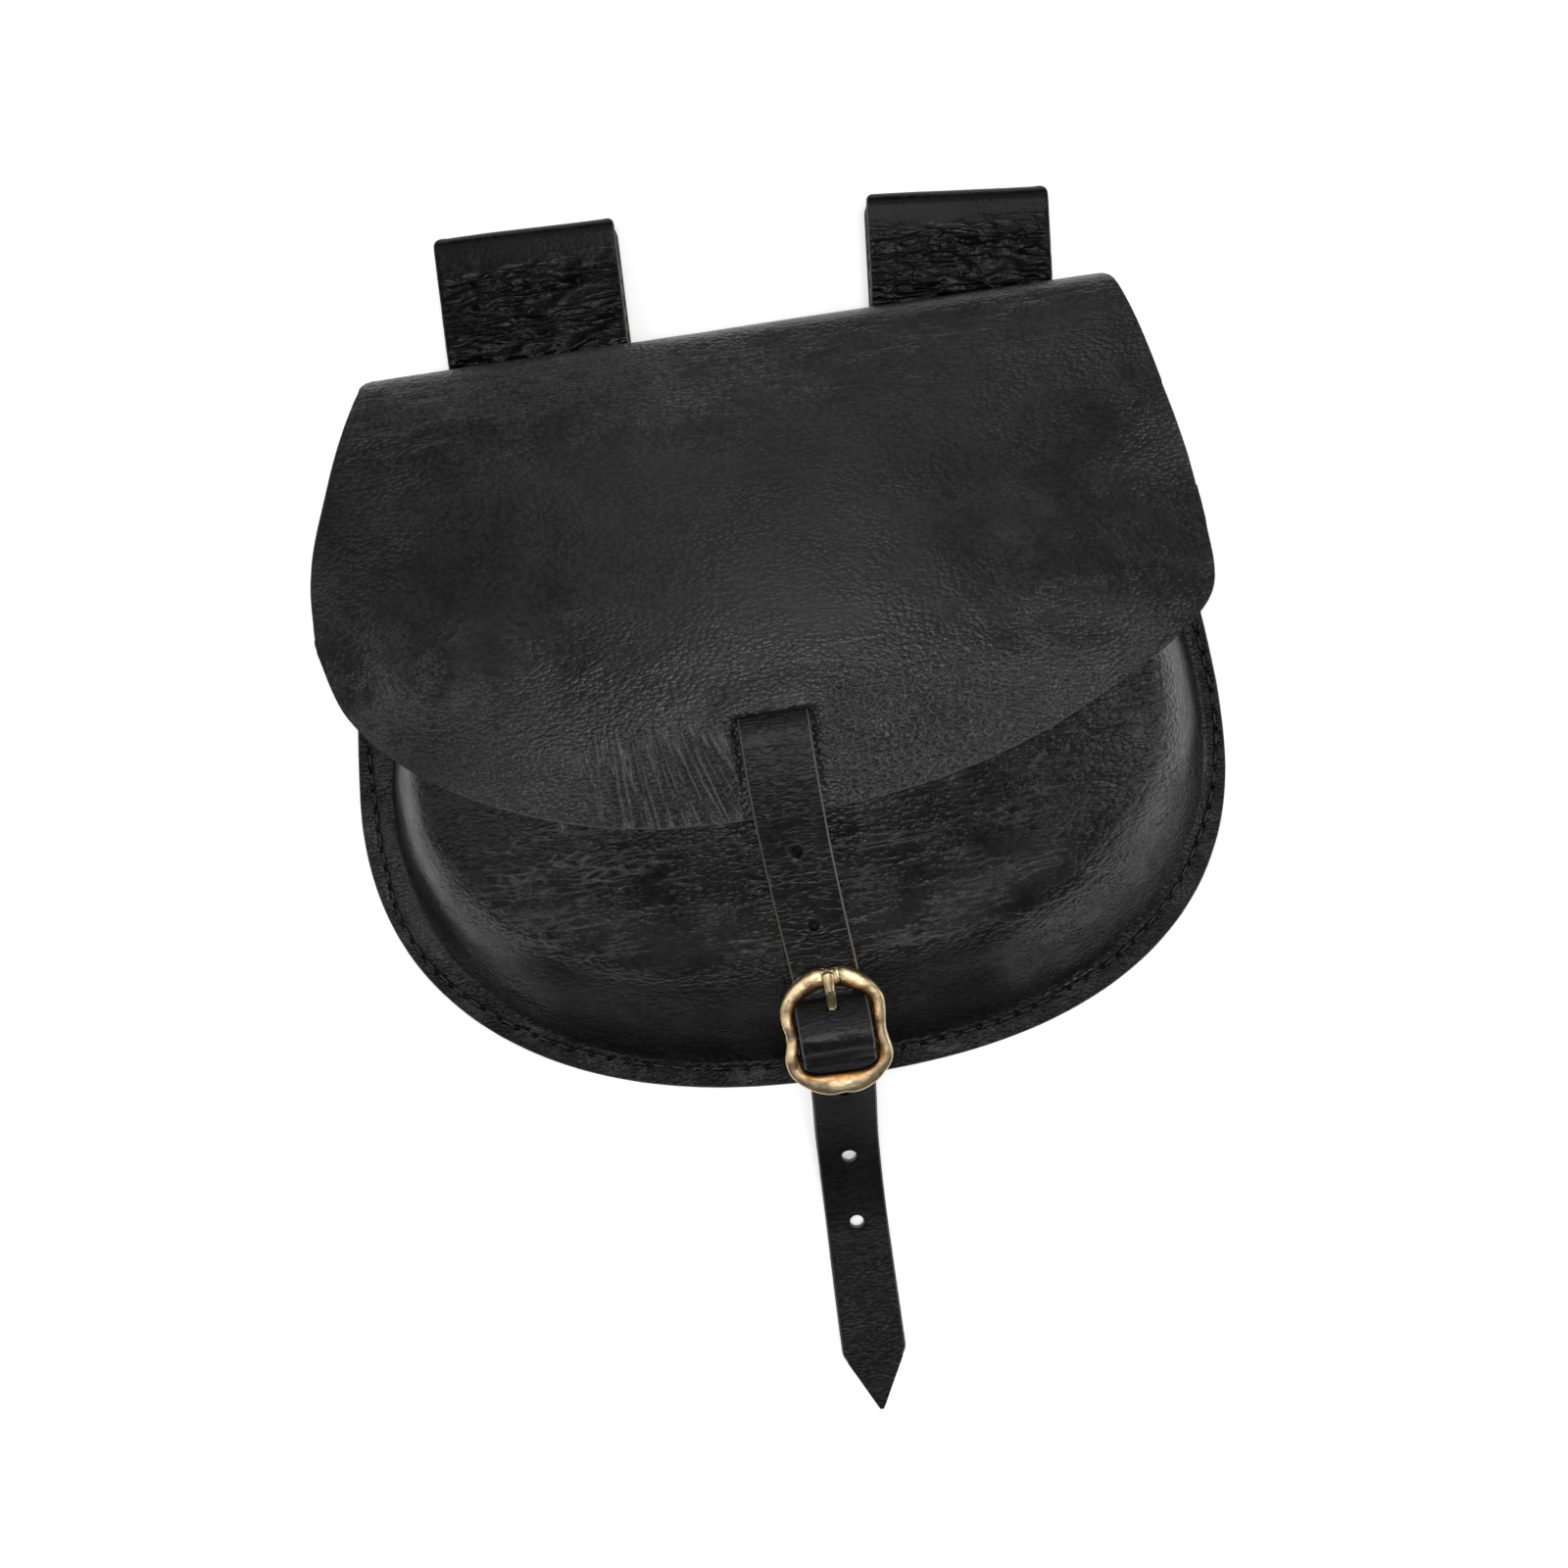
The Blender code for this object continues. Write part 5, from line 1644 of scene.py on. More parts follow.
@dataclass(frozen=True)
class PouchFront:
    """Moulded front: flange, wall and face, open at the mouth under the flap."""

    form: PouchForm
    seam: SeamLine
    flange: float = 0.0135
    wall_run: float = 0.031
    groove_depth: float = 0.00050
    groove_reach: float = 0.00075
    edge: float = 0.00040
    side_rays: int = 64
    arc_rays: int = 150
    flange_rings: tuple[float, ...] = (0, 0.14, 0.28, 0.38, 0.44, 0.475, 0.5, 0.525, 0.56, 0.64, 0.78, 0.9)
    wall_rings: int = 40
    face_rings: int = 20
    grain: LeatherFinish = LeatherFinish(
        "leather_front",
        gloss=(0.20, 0.36),
        shine=0.25,
        grain_size=0.00125,
        grain_stretch=(0.62, 1.05, 0.8),
        grain_depth=0.00024,
        crease_size=(0.0075, 0.0017, 0.0050),
        crease_depth=0.00040,
        rub_highlight=0.55,
        stitched=True,
    )
    flat_size: tuple[float, float] = (0.285, 0.197)
    flat_area: float = 0.0454
    clouds: Waves = Waves(0.5, (0.022, 0.022, 0.022), 7.7)
    waves: tuple[Waves, Waves] = (
        Waves(0.00040, (0.020, 0.017, 0.018), 2.9),
        Waves(0.00008, (0.005, 0.004, 0.005), 6.6),
    )
    puckers: Waves = Waves(0.00010, (0.0045, 0.0045, 0.01), 1.1)
    left_side_from: Fade = Fade(-0.065, 0.02)
    creased_from: Fade = Fade(0.3, 0.3)
    creased_spot: Spot = Spot(-0.062, -0.026, 0.024, 0.014, 0.8)
    low_up_to: Fade = Fade(1.04, -0.26)
    low_within: Fade = Fade(0.095, -0.030)
    low_below: Fade = Fade(-0.045, -0.012)
    low_right: Fade = Fade(0.040, 0.026)
    low_dull: float = 0.88
    lit_off_seam: float = 0.0390
    lit_reach: float = 0.0060
    lit_within: Fade = Fade(0.080, -0.025)
    worn: tuple[Spot, ...] = (
        Spot(-0.093, -0.033, 0.013, 0.022, 0.35),
        Spot(-0.078, -0.054, 0.014, 0.012, 0.15),
    )
    under_holes: tuple[Spot, ...] = (
        Spot(-0.0020, -0.0365, 0.005, 0.005, 1.0),
        Spot(-0.0007, -0.0556, 0.005, 0.005, 1.0),
    )
    wall_foot: Curve = Curve(
        ((0, 1.0), (0.2, 0.92), (0.3, 0.7), (0.38, 0.5), (0.5, 0.5), (0.65, 0.46), (0.8, 0.4), (1.0, 0.36))
    )
    wall_reach: Curve = Curve(
        ((0, 0.55), (0.20, 0.62), (0.35, 0.85), (0.50, 1.0), (0.65, 0.95), (0.80, 0.82), (1.0, 0.76))
    )
    wall_rise: Curve = Curve((
        (0.0, 0.0), (0.07, 0.035), (0.16, 0.16), (0.32, 0.43), (0.5, 0.68), (0.68, 0.86), (0.86, 0.965),
        (1.0, 1.0),
    ))

    def rings(self) -> list[tuple[Zone, float]]:
        """Rings from the edge inwards.

        Returns:
            Each ring's zone, and its share of that zone.
        """
        rings = [(Zone.FLANGE, share) for share in self.flange_rings]
        rings += [(Zone.WALL, share) for share in np.linspace(0, 1, self.wall_rings + 1) ** 1.15]
        faces = np.linspace(0, 1, self.face_rings + 1)[1:] ** 1.4
        return rings + [(Zone.FACE, share) for share in faces]

    def places(self) -> Array:
        """Rays from the left end of the mouth round the bottom to the right end.

        Returns:
            Shares of the way round, 0 to 1.
        """
        left = np.linspace(0, 0.25, self.side_rays, endpoint=False)
        middle = np.linspace(0.25, 0.75, self.arc_rays, endpoint=False)
        return np.concatenate((left, middle, np.linspace(0.75, 1, self.side_rays + 1)))

    def top(self, y: Numbers) -> Array:
        """Height of the flange's upper side."""
        return self.form.underside(y) + 2 * self.form.leather + self.form.flange_gap

    def skin(self) -> Skin:
        """Outer side of the front, with its dents, its seam's groove and its marks.

        Returns:
            The skin.
        """
        place = self.places()
        edge, ray = self.seam.edge(place), self.seam.ray(place)
        length = np.linalg.norm(ray, axis=-1)
        foot, run = self.flange * self.wall_foot(place), self.wall_run * self.wall_reach(place)
        inset = self.seam.inset_along_ray(place)
        rows, off_seam, zones = [], [], []
        for zone, share in self.rings():
            if zone is Zone.FLANGE:
                near, far = inset * share * 2, inset + (foot - inset) * (share * 2 - 1)
                inward = np.where(share <= 0.5, near, far)
            elif zone is Zone.WALL:
                inward = foot + run * share
            else:
                inward = foot + run + (length - foot - run) * share
            x, y = (edge + ray * (inward / length)[:, None]).T
            rise = self.wall_rise(share) if zone is Zone.WALL else float(zone is Zone.FACE)
            z = self.top(y) + (self.form.face(x, y) - self.top(y)) * rise
            rows.append(np.stack((x, y, z), axis=-1))
            off_seam.append(inward - inset)
            up = {Zone.FLANGE: 0.0, Zone.WALL: share, Zone.FACE: 1 + share}[zone]
            zones.append(np.full_like(place, up))
        skin = Skin(np.stack(rows), outward=1)
        off, up = np.stack(off_seam), np.stack(zones)
        skin.marks = self.marks(skin.points, place, off, up)
        skin.raised(self.dents(skin.points, off, up))
        return skin

    def marks(self, points: Array, place: Array, off: Array, up: Array) -> dict[str, Array]:
        """How strong the grain and creases are, and where the needle's holes lie.

        Args:
            points: the front's points.
            place: place of each ray round the seam, 0 to 1.
            off: distance inwards from the seam.
            up: 0 on the flange, then up to 1 on the wall and to 2 on the face.

        Returns:
            The marks by their names, at each point.
        """
        line = self.seam.points(np.linspace(0, 1, 2001))
        turns = arc_lengths(line) / Stitching.pitch
        seam = np.interp(place, np.linspace(0, 1, 2001), turns)
        x, y = points[..., 0], points[..., 1]
        cloud = 0.5 + self.clouds(points)
        side = 1 - 0.8 * bell(x + 0.103, 0.012) * self.left_side_from(y)
        low = self.low_up_to(up) * self.low_within(np.abs(x)) * self.low_below(y)
        low *= 1 - 0.85 * self.low_right(x)
        crease = (0.25 + 0.70 * cloud) * self.creased_from(up) + self.creased_spot(x, y)
        dull = self.low_dull * low + sum(spot(x, y) for spot in self.worn)
        for spot in self.under_holes:
            dull = np.maximum(dull, spot(x, y))
        # Painted highlight: a lighter band on the face a little inside the seam.
        lit = bell(off - self.lit_off_seam, self.lit_reach) * self.lit_within(np.abs(x))
        return {
            "grain": (0.8 + 0.3 * cloud + 1.3 * (up <= 0)) * side,
            "crease": crease * (1 - 0.5 * low) * side,
            "dull": dull * (up > 0),
            "lit": 0.15 * lit * (up > 0.5),
            "seam": np.broadcast_to(seam, off.shape),
            "off_seam": np.where(up > 0, 1.0, off),
        }

    def dents(self, points: Array, off: Array, up: Array) -> Array:
        """Height of the front's own dents and groove over its plain form.

        Args:
            points: the front's points.
            off: distance inwards from the seam.
            up: 0 on the flange, then up to 1 on the wall and to 2 on the face.

        Returns:
            The height at each point.
        """
        groove = -self.groove_depth * bell(off, self.groove_reach) * (up <= 0)
        on_wall = smooth(up / 0.2) * smooth((1.5 - up) / 0.4)
        waves = sum(waves(points) for waves in self.waves)
        return groove + waves * on_wall + self.puckers(points) * (up <= 0)

    def build(self) -> Piece:
        """Build the front and dress it.

        Returns:
            The finished piece.
        """
        leather = LeatherSet.of(self.grain)
        piece = add_piece("pouch_front_leather", self.skin().mesh(merge=1e-5), leather.all())
        give_thickness(piece, self.form.leather, self.edge)
        dress(piece, Slot.LEATHER, "pouch_front")
        return piece


@dataclass(frozen=True)
class Stitching:
    """Black thread of the seam: one run on the flange and one under the back panel."""

    form: PouchForm
    seam: SeamLine
    front: PouchFront
    length: float = 0.0044
    radius: float = 0.00036
    sides: int = 8
    rings: int = 9
    pitch: float = 0.0054
    flatness: float = 1.15
    dip: float = 0.00045
    dip_below: float = 0.0003
    sunk: float = 0.45
    under_gap: float = 0.0001

    def stitch(self, bm: BMesh, line: Array) -> None:
        """Add one stitch along a short line, round and with sunken ends.

        Args:
            bm: mesh that it is added to.
            line: its middle line.
        """
        around = np.linspace(0, 2 * math.pi, self.sides + 1)
        ahead = unit(np.gradient(line, axis=0))
        side = unit(np.cross(ahead, (0.0, 0.0, 1.0)))
        up = np.cross(side, ahead)
        swell = np.sin(np.linspace(0, math.pi, len(line))) ** 0.35 * self.radius
        ring = np.cos(around)[:, None] * side[:, None] * self.flatness + np.sin(around)[:, None] * up[:, None]
        points = line[:, None] + ring * swell[:, None, None]
        lengths = arc_lengths(line)
        flat = np.stack(np.broadcast_arrays(around[None] / (2 * math.pi), lengths[:, None]), axis=-1)
        append(bm, Skin(points, outward=-1, flat=flat).mesh(merge=1e-6))

    def build(self) -> Piece:
        """Build every stitch of the seam and dress them as one piece.

        Returns:
            The finished piece.
        """
        places = np.linspace(0, 1, 2001)
        plan = self.seam.points(places)
        lengths = arc_lengths(plan)
        bm = bmesh.new()
        count = int(lengths[-1] / self.pitch)
        dip = np.linspace(-1, 1, self.rings) ** 8
        for index in range(count):
            start = (index + 0.5) * self.pitch + (self.pitch - self.length) / 2
            along = np.linspace(start, min(start + self.length, lengths[-1]), self.rings)
            x, y = (np.interp(along, lengths, plan[:, axis]) for axis in (0, 1))
            top = self.front.top(y) - self.front.groove_depth + self.radius * self.sunk - self.dip * dip
            self.stitch(bm, np.column_stack((x, y, top)))
            under = self.form.underside(y) + self.under_gap + self.dip_below * dip
            self.stitch(bm, np.column_stack((x, y, under)))
        bmesh.ops.recalc_face_normals(bm, faces=bm.faces)
        return dress(add_piece("seam_stitches", bm, [ThreadFinish().build()]), Slot.LEATHER)


@dataclass(frozen=True)
class HoleShape:
    """One punched hole of the strap, at its place along +Y."""

    place: float
    width: float
    length: float
    point: float


@dataclass(frozen=True)
class ClosingStrap:
    """Strap from under the flap through its slit, the buckle and down to the table."""

    form: PouchForm
    buckle: BuckleForm
    thickness: float = 0.0020
    rise_ahead: float = 0.0050
    rise_run: float = 0.0095
    anchor_length: float = 0.014
    anchor_width: float = 0.027
    anchor_shoulder: float = 0.003
    slit_length: float = 0.0050
    step_down: float = 0.008
    tail_drop: float = 0.0555
    tail_flat: float = 0.0488
    tail_bend: float = 0.018
    landing_bend: float = 0.026
    tip_length: float = 0.0162
    tip_blunt: float = 0.0008
    tip_shoulder: float = 0.0177
    tip_widening: float = 0.048
    tongue_hole: float = 0.0046
    tongue_room: float = 0.0006
    tongue_room_above: float = 0.0007
    punch_lean: float = 0.3
    buckle_widening: float = 0.0007
    waves: tuple[Waves, Waves] = (Waves(0.00008, (0.012, 0.009), 1.9), Waves(0.00005, (0.0038, 0.0016), 5.2))
    near_tip: Fade = Fade(-0.055, 0.02)
    upper: Fade = Fade(0.062, -0.02)
    lower_from: Fade = Fade(0.030, 0.02)
    lower_to: Fade = Fade(0.095, -0.01)
    hanging: Fade = Fade(0.105, 0.02)
    shown_from: Fade = Fade(0.012, 0.045)
    shown_to: Fade = Fade(0.100, -0.01)
    lip_height: float = 0.00024
    lip_away: float = 0.0004
    lip_reach: float = 0.0006
    edge: float = 0.00050
    columns: int = 24
    step: float = 0.00075
    turn: float = math.radians(7)
    grain: LeatherFinish = LeatherFinish(
        "leather_strap",
        gloss=(0.28, 0.42),
        grain_stretch=(0.6, 1.2, 1.0),
        crease_size=(0.0046, 0.0012, 0.0034),
        crease_depth=0.00032,
        shine=0.26,
        follows_cut=True,
    )
    flat_size: tuple[float, float] = (0.027, 0.231)
    flat_area: float = 0.0040
    holes: tuple[HoleShape, ...] = (
        HoleShape(-0.0365, 0.0026, 0.0036, 0.0),
        HoleShape(-0.0556, 0.0024, 0.0034, 0.0),
        HoleShape(-0.1009, 0.0034, 0.0034, 0.0),
        HoleShape(-0.1223, 0.0038, 0.0044, 0.25),
        HoleShape(-0.1423, 0.0038, 0.0035, 0.0),
    )

    def rise(self, y: Array) -> Array:
        """Height of the strap's middle line from its hidden end to where it leaves the front.

        Args:
            y: place along the pouch.

        Returns:
            The height.
        """
        half = self.thickness / 2
        on_front = self.form.face(0.0, y) + self.form.gap + half
        over_flap = self.form.flap_height(np.zeros_like(y), y) + self.form.gap + half - self.form.pressed(y)
        through = smooth((self.form.slit_place + self.rise_ahead - y) / self.rise_run)
        risen = on_front + (over_flap - on_front) * through
        tip = self.form.flap_tip
        step = float(self.form.leather + self.form.flap_lift(tip) - self.form.pressed(tip))
        past = on_front + step * (1 - smooth((tip - y) / self.step_down))
        return np.where(y > tip, risen, past)

    def path(self) -> Array:
        """Middle line of the strap in side view, as many points (y, z).

        Returns:
            The points.
        """
        start = self.form.slit_place + self.slit_length / 2 + self.anchor_length
        y = np.linspace(start, self.buckle.leaves_front, 1401)
        upper = np.column_stack((y, self.rise(y)))
        weave = self.buckle.weave()
        end = weave[-1]
        heading = np.array((-math.cos(self.buckle.tail_angle), -math.sin(self.buckle.tail_angle)))
        landing = np.array((end[0] - self.tail_drop, self.thickness / 2))
        ahead = landing + np.array((self.landing_bend, 0.0))
        drop = bezier((end, end + self.tail_bend * heading, ahead, landing), 241)
        flat = np.linspace(0, self.tail_flat, 121)
        tail = np.column_stack((landing[0] - flat, np.full_like(flat, landing[1])))
        return np.concatenate((upper, weave, drop[1:], tail[1:]))

    def half_width(self, along: Array, total: float) -> Array:
        """Half the strap's width at a distance from its hidden end.

        Args:
            along: the distance.
            total: the strap's length.

        Returns:
            The half width.
        """
        widening = smooth(1 + (along + self.tip_length - total) / self.tip_widening)
        width = self.buckle.strap_width + (self.tip_shoulder - self.buckle.strap_width) * widening
        left = (total - along) / self.tip_length
        pointed = self.tip_blunt + (self.tip_shoulder - self.tip_blunt) * left
        rounded = -np.logaddexp(-width * 3500, -pointed * 3500) / 3500
        width = np.where(left < 1.6, rounded, width)
        shoulder = smooth((self.anchor_length - along) / self.anchor_shoulder)
        return (width + (self.anchor_width - width) * shoulder) / 2

    def hole_places(self, path: Array) -> list[tuple[HoleShape, float, float, float, float]]:
        """Each hole with its distance along the strap, its side-view point and the slope there.

        Args:
            path: the strap's middle line.

        Returns:
            One row for each hole.
        """
        lengths = arc_lengths(path)
        found = []
        for hole in self.holes:
            along = float(np.interp(-hole.place, -path[:, 0], lengths))
            here = [float(np.interp(along, lengths, path[:, axis])) for axis in (0, 1)]
            next_along = along + self.thickness / 2
            there = [float(np.interp(next_along, lengths, path[:, axis])) for axis in (0, 1)]
            slope = math.atan2(there[1] - here[1], here[0] - there[0])
            found.append((hole, along, here[0], here[1], slope))
        return found

    def skin(self) -> Skin:
        """Outer side of the strap, with its crinkles and the lips of its holes.

        Returns:
            The skin.
        """
        dense = self.path()
        line = respaced(dense, self.step, self.turn)
        y, z, along = line.T
        total = along[-1]
        across = np.linspace(-1, 1, self.columns + 1)
        first, last = self.buckle.point(0.0, 0.0)[0], self.buckle.point(self.buckle.bottom, 0.0)[0]
        in_buckle = smooth((first - 0.001 - y) / 0.004) * smooth((y - last - 0.001) / 0.004)
        half = (self.half_width(along, total) + self.buckle_widening * in_buckle)[:, None] * across
        x = self.buckle.aside(y)[:, None] + half
        lying = smooth((y - self.buckle.leaves_front) / self.buckle.strap_width)[:, None]
        height = z[:, None] - self.form.arch(x) * lying
        points = np.stack((x, np.broadcast_to(y[:, None], x.shape), height), axis=-1)
        flat = np.stack((half, np.broadcast_to(along[:, None], x.shape)), axis=-1)
        skin = Skin(points, outward=-1, flat=flat)
        lips = np.zeros_like(half)
        for hole, place, *_ in self.hole_places(dense):
            away = np.hypot(half, flat[..., 1] - place) - hole.length / 2
            lips += self.lip_height * bell(away - self.lip_away, self.lip_reach)
        skin.raised(self.thickness / 2)
        skin.raised(lips + sum(waves(flat) for waves in self.waves))
        marks = self.marks(along[:, None], total, across, in_buckle[:, None], lips)
        skin.marks = {name: np.broadcast_to(mark, half.shape) for name, mark in marks.items()}
        return skin

    def marks(
        self, along: Array, total: float, across: Array, in_buckle: Array, lips: Array
    ) -> dict[str, Array]:
        """How strong the grain and the creases are.

        Args:
            along: distance from the hidden end, as a column.
            total: the strap's length.
            across: place from its left side (-1) to its right (1).
            in_buckle: 1 within the buckle, as a column.
            lips: height of the lips round its holes.

        Returns:
            The marks by their names.
        """
        tip, upper, hanging = self.near_tip(along - total), self.upper(along), self.hanging(along)
        lower = self.lower_from(along) * self.lower_to(along)
        lit_lips = 0.9 * lips / self.lip_height * (1 - hanging)
        return {
            "dull": 0.7 * hanging * (1 - 0.3 * tip) + 0.32 * upper + 0.2 * in_buckle - lit_lips,
            "grain": 0.35 + 0.35 * upper + 0.6 * tip,
            "crease": 0.16 + 0.9 * tip + 0.10 * upper + 0.75 * lower,
            # Painted highlight: the cut edge is paler, most of all on the strap's right side, which faces the
            # right light; a little of it is undyed edge.
            "pale": (0.10 + 0.65 * (across > 0)) * self.shown_from(along) * self.shown_to(along),
        }

    def cutters(self) -> BMesh:
        """Cutters of the punched holes and of the hole that the tongue is in.

        Returns:
            Their one mesh.
        """
        bm = bmesh.new()
        for hole, _, y, z, slope in self.hole_places(self.path()):
            made = bmesh.ops.create_cone(
                bm, segments=36, cap_ends=True, radius1=0.5, radius2=0.5, depth=3 * self.thickness
            )
            for vertex in made["verts"]:
                aside, along, above = vertex.co
                aside *= 1 + hole.point * (0.5 + along) * 0.9 - hole.point * 0.25
                aside, along = aside * hole.width, along * hole.length
                vertex.co = (
                    float(self.buckle.aside(y)) + aside,
                    y + along * math.cos(slope) + above * math.sin(self.punch_lean * slope),
                    z - along * math.sin(slope) + above * math.cos(self.punch_lean * slope),
                )
        tongue = (self.buckle.tongue_width + self.tongue_room, self.tongue_hole)
        tongue += (self.buckle.tongue_thickness + self.tongue_room_above,)
        self.buckle.add_box(bm, tongue, self.buckle.tongue_crossing())
        return bm

    def build(self) -> Piece:
        """Build the strap and dress it.

        Returns:
            The finished piece.
        """
        leather = LeatherSet.of(self.grain)
        piece = add_piece("closing_strap_leather", self.skin().mesh(), leather.all())
        give_thickness(piece, self.thickness, self.edge)
        cut(piece, self.cutters(), leather.grain)
        dress(piece, Slot.LEATHER, "closing_strap")
        return piece


@dataclass(frozen=True)
class Buckle:
    """Cast frame with two lobes and its centre bar, and the tongue on that bar."""

    form: BuckleForm
    sides: int = 20
    steps: int = 7
    squareness: float = 3.4
    notch_place: float = 0.0025
    notch_reach: float = 0.0006
    notch_depth: float = 0.0006
    lump_size: Triple = (0.0052, 0.0045, 0.0040)
    frame_lumps: float = 0.00020
    tongue_lumps: float = 0.00008
    tip_round: float = 0.0009
    start_round: float = 0.0008
    pad_swell: float = 0.22
    pad_place: float = 0.0016
    pad_reach: float = 0.0014

    def loop_stations(self) -> Array:
        """Middle line of the frame all the way round, as (across, along, bar width).

        Returns:
            One row for each station.
        """
        right = np.array(self.form.outline)
        left = right[-2:0:-1] * (-1, 1, 1)
        knots = np.concatenate((right, left))
        half_width = (self.form.width - self.form.bar) / 2
        knots[:, 0] *= half_width
        knots[:, 1] = self.form.half_length * (1 - knots[:, 1])
        knots[:, 2] *= self.form.bar
        before, after, later = (np.roll(knots, -shift, axis=0) for shift in (-1, 1, 2))
        rows = []
        for t in np.arange(self.steps) / self.steps:
            square = (2 * before - 5 * knots + 4 * after - later) * t * t
            cube = (3 * knots - before - 3 * after + later) * t**3
            rows.append(0.5 * (2 * knots + (after - before) * t + square + cube))
        return np.stack(rows, axis=1).reshape(-1, 3)

    def section(self) -> Array:
        """Rounded square that the frame's bars have, as (outward, up) shares.

        Returns:
            Its points, with the first again at the end.
        """
        angle = np.linspace(0, 2 * math.pi, self.sides + 1)
        power = 2 / self.squareness
        out = np.sign(np.cos(angle)) * np.abs(np.cos(angle)) ** power
        up = np.sign(np.sin(angle)) * np.abs(np.sin(angle)) ** power
        return np.column_stack((out, up))

    def frame_skin(self) -> Skin:
        """Surface of the frame as a ring-shaped grid.

        Returns:
            The skin.
        """
        stations = self.loop_stations()
        stations = np.concatenate((stations, stations[:1]))
        ahead = np.roll(stations[:-1], -1, axis=0) - np.roll(stations[:-1], 1, axis=0)
        ahead = unit(np.concatenate((ahead, ahead[:1]))[:, :2])
        section = self.section()
        out, up = section[:, 0], section[:, 1]
        half = stations[:, 2:3] / 2
        across = stations[:, :1] + ahead[:, 1:] * half * out
        along = stations[:, 1:2] - ahead[:, :1] * half * out
        above = np.broadcast_to(up * self.form.thickness / 2, across.shape)
        side_view = self.form.point(along, above)
        points = np.concatenate(((across + self.form.middle)[..., None], side_view), axis=-1)
        skin = Skin(points, outward=1)
        # Painted shade: the frame's inner faces and undersides get the brown colour.
        inner = 0.9 * smooth(-out + 0.15) * (up < 0.98) + 0.5 * smooth(-up)
        skin.marks["shaded_faces"] = np.broadcast_to(inner, across.shape)
        skin.marks["dull"] = np.zeros(across.shape)
        on_top_bar = smooth((0.004 - stations[:, 1:2]) / 0.002)
        skin.raised(-self.notch_depth * bell(across - self.notch_place, self.notch_reach) * on_top_bar)
        return skin

    def lumps(self, skin: Skin, depth: float) -> None:
        """Give a cast surface its uneven skin."""
        skin.raised(depth * ripples(skin.points, self.lump_size, 3.1))

    def rod(self, middles: Array, sides: Array, ups: Array) -> Skin:
        """Oval rod through stations, closed at both ends.

        Args:
            middles: its stations.
            sides: half widths, as ways.
            ups: half heights, as ways.

        Returns:
            The skin.
        """
        angle = np.linspace(0, 2 * math.pi, self.sides + 1)
        ring = np.cos(angle)[None, :, None] * sides[:, None] + np.sin(angle)[None, :, None] * ups[:, None]
        skin = Skin(middles[:, None] + ring, outward=1)
        skin.marks = {name: np.zeros(skin.points.shape[:2]) for name in ("shaded_faces", "dull")}
        return skin

    def closed(self, skin: Skin) -> BMesh:
        """Mesh of a rod or ring with its seam closed and its faces outwards.

        Args:
            skin: the rod or ring.

        Returns:
            Its mesh.
        """
        bm = skin.mesh(merge=2e-6)
        ends = [edge for edge in bm.edges if edge.is_boundary]
        if ends:
            bmesh.ops.holes_fill(bm, edges=ends, sides=0)
        bmesh.ops.recalc_face_normals(bm, faces=bm.faces)
        return bm

    def joined(self, meshes: Sequence[BMesh]) -> BMesh:
        """One mesh of several.

        Args:
            meshes: the meshes, of which only the first stays.

        Returns:
            The first, with the others in it.
        """
        whole = meshes[0]
        for extra in meshes[1:]:
            append(whole, extra)
        return whole

    def build_frame(self, brass: Material) -> Piece:
        """Build the frame with its centre bar and dress it.

        Args:
            brass: its finish.

        Returns:
            The finished piece.
        """
        ring = self.frame_skin()
        self.lumps(ring, self.frame_lumps)
        half = (self.form.width - self.form.bar) / 2 * self.form.outline[self.form.bar_row][0]
        x = np.linspace(-half, half, 31) + self.form.middle
        side_view = np.broadcast_to(self.form.point(self.form.centre, 0.0), (31, 2))
        radius = self.form.bar_diameter / 2
        sides = np.broadcast_to((0.0, radius, 0.0), (31, 3))
        ups = np.broadcast_to((0.0, 0.0, radius), (31, 3))
        bar = self.rod(np.column_stack((x, side_view)), sides, ups)
        # Painted shade: the centre bar, which lies under the strap, is painted near-black.
        bar.marks["dull"] += 1.0
        bm = self.joined([self.closed(ring), self.closed(bar)])
        return dress(add_piece("buckle_frame_brass", bm, [brass]), Slot.BRASS, "buckle_frame")

    def round_end(self, away: Array, reach: float) -> Array:
        """Share of the full thickness at a distance from a rounded end."""
        return np.sqrt(np.clip(1 - (1 - np.minimum(away / reach, 1.0)) ** 2, 0.02, 1.0))

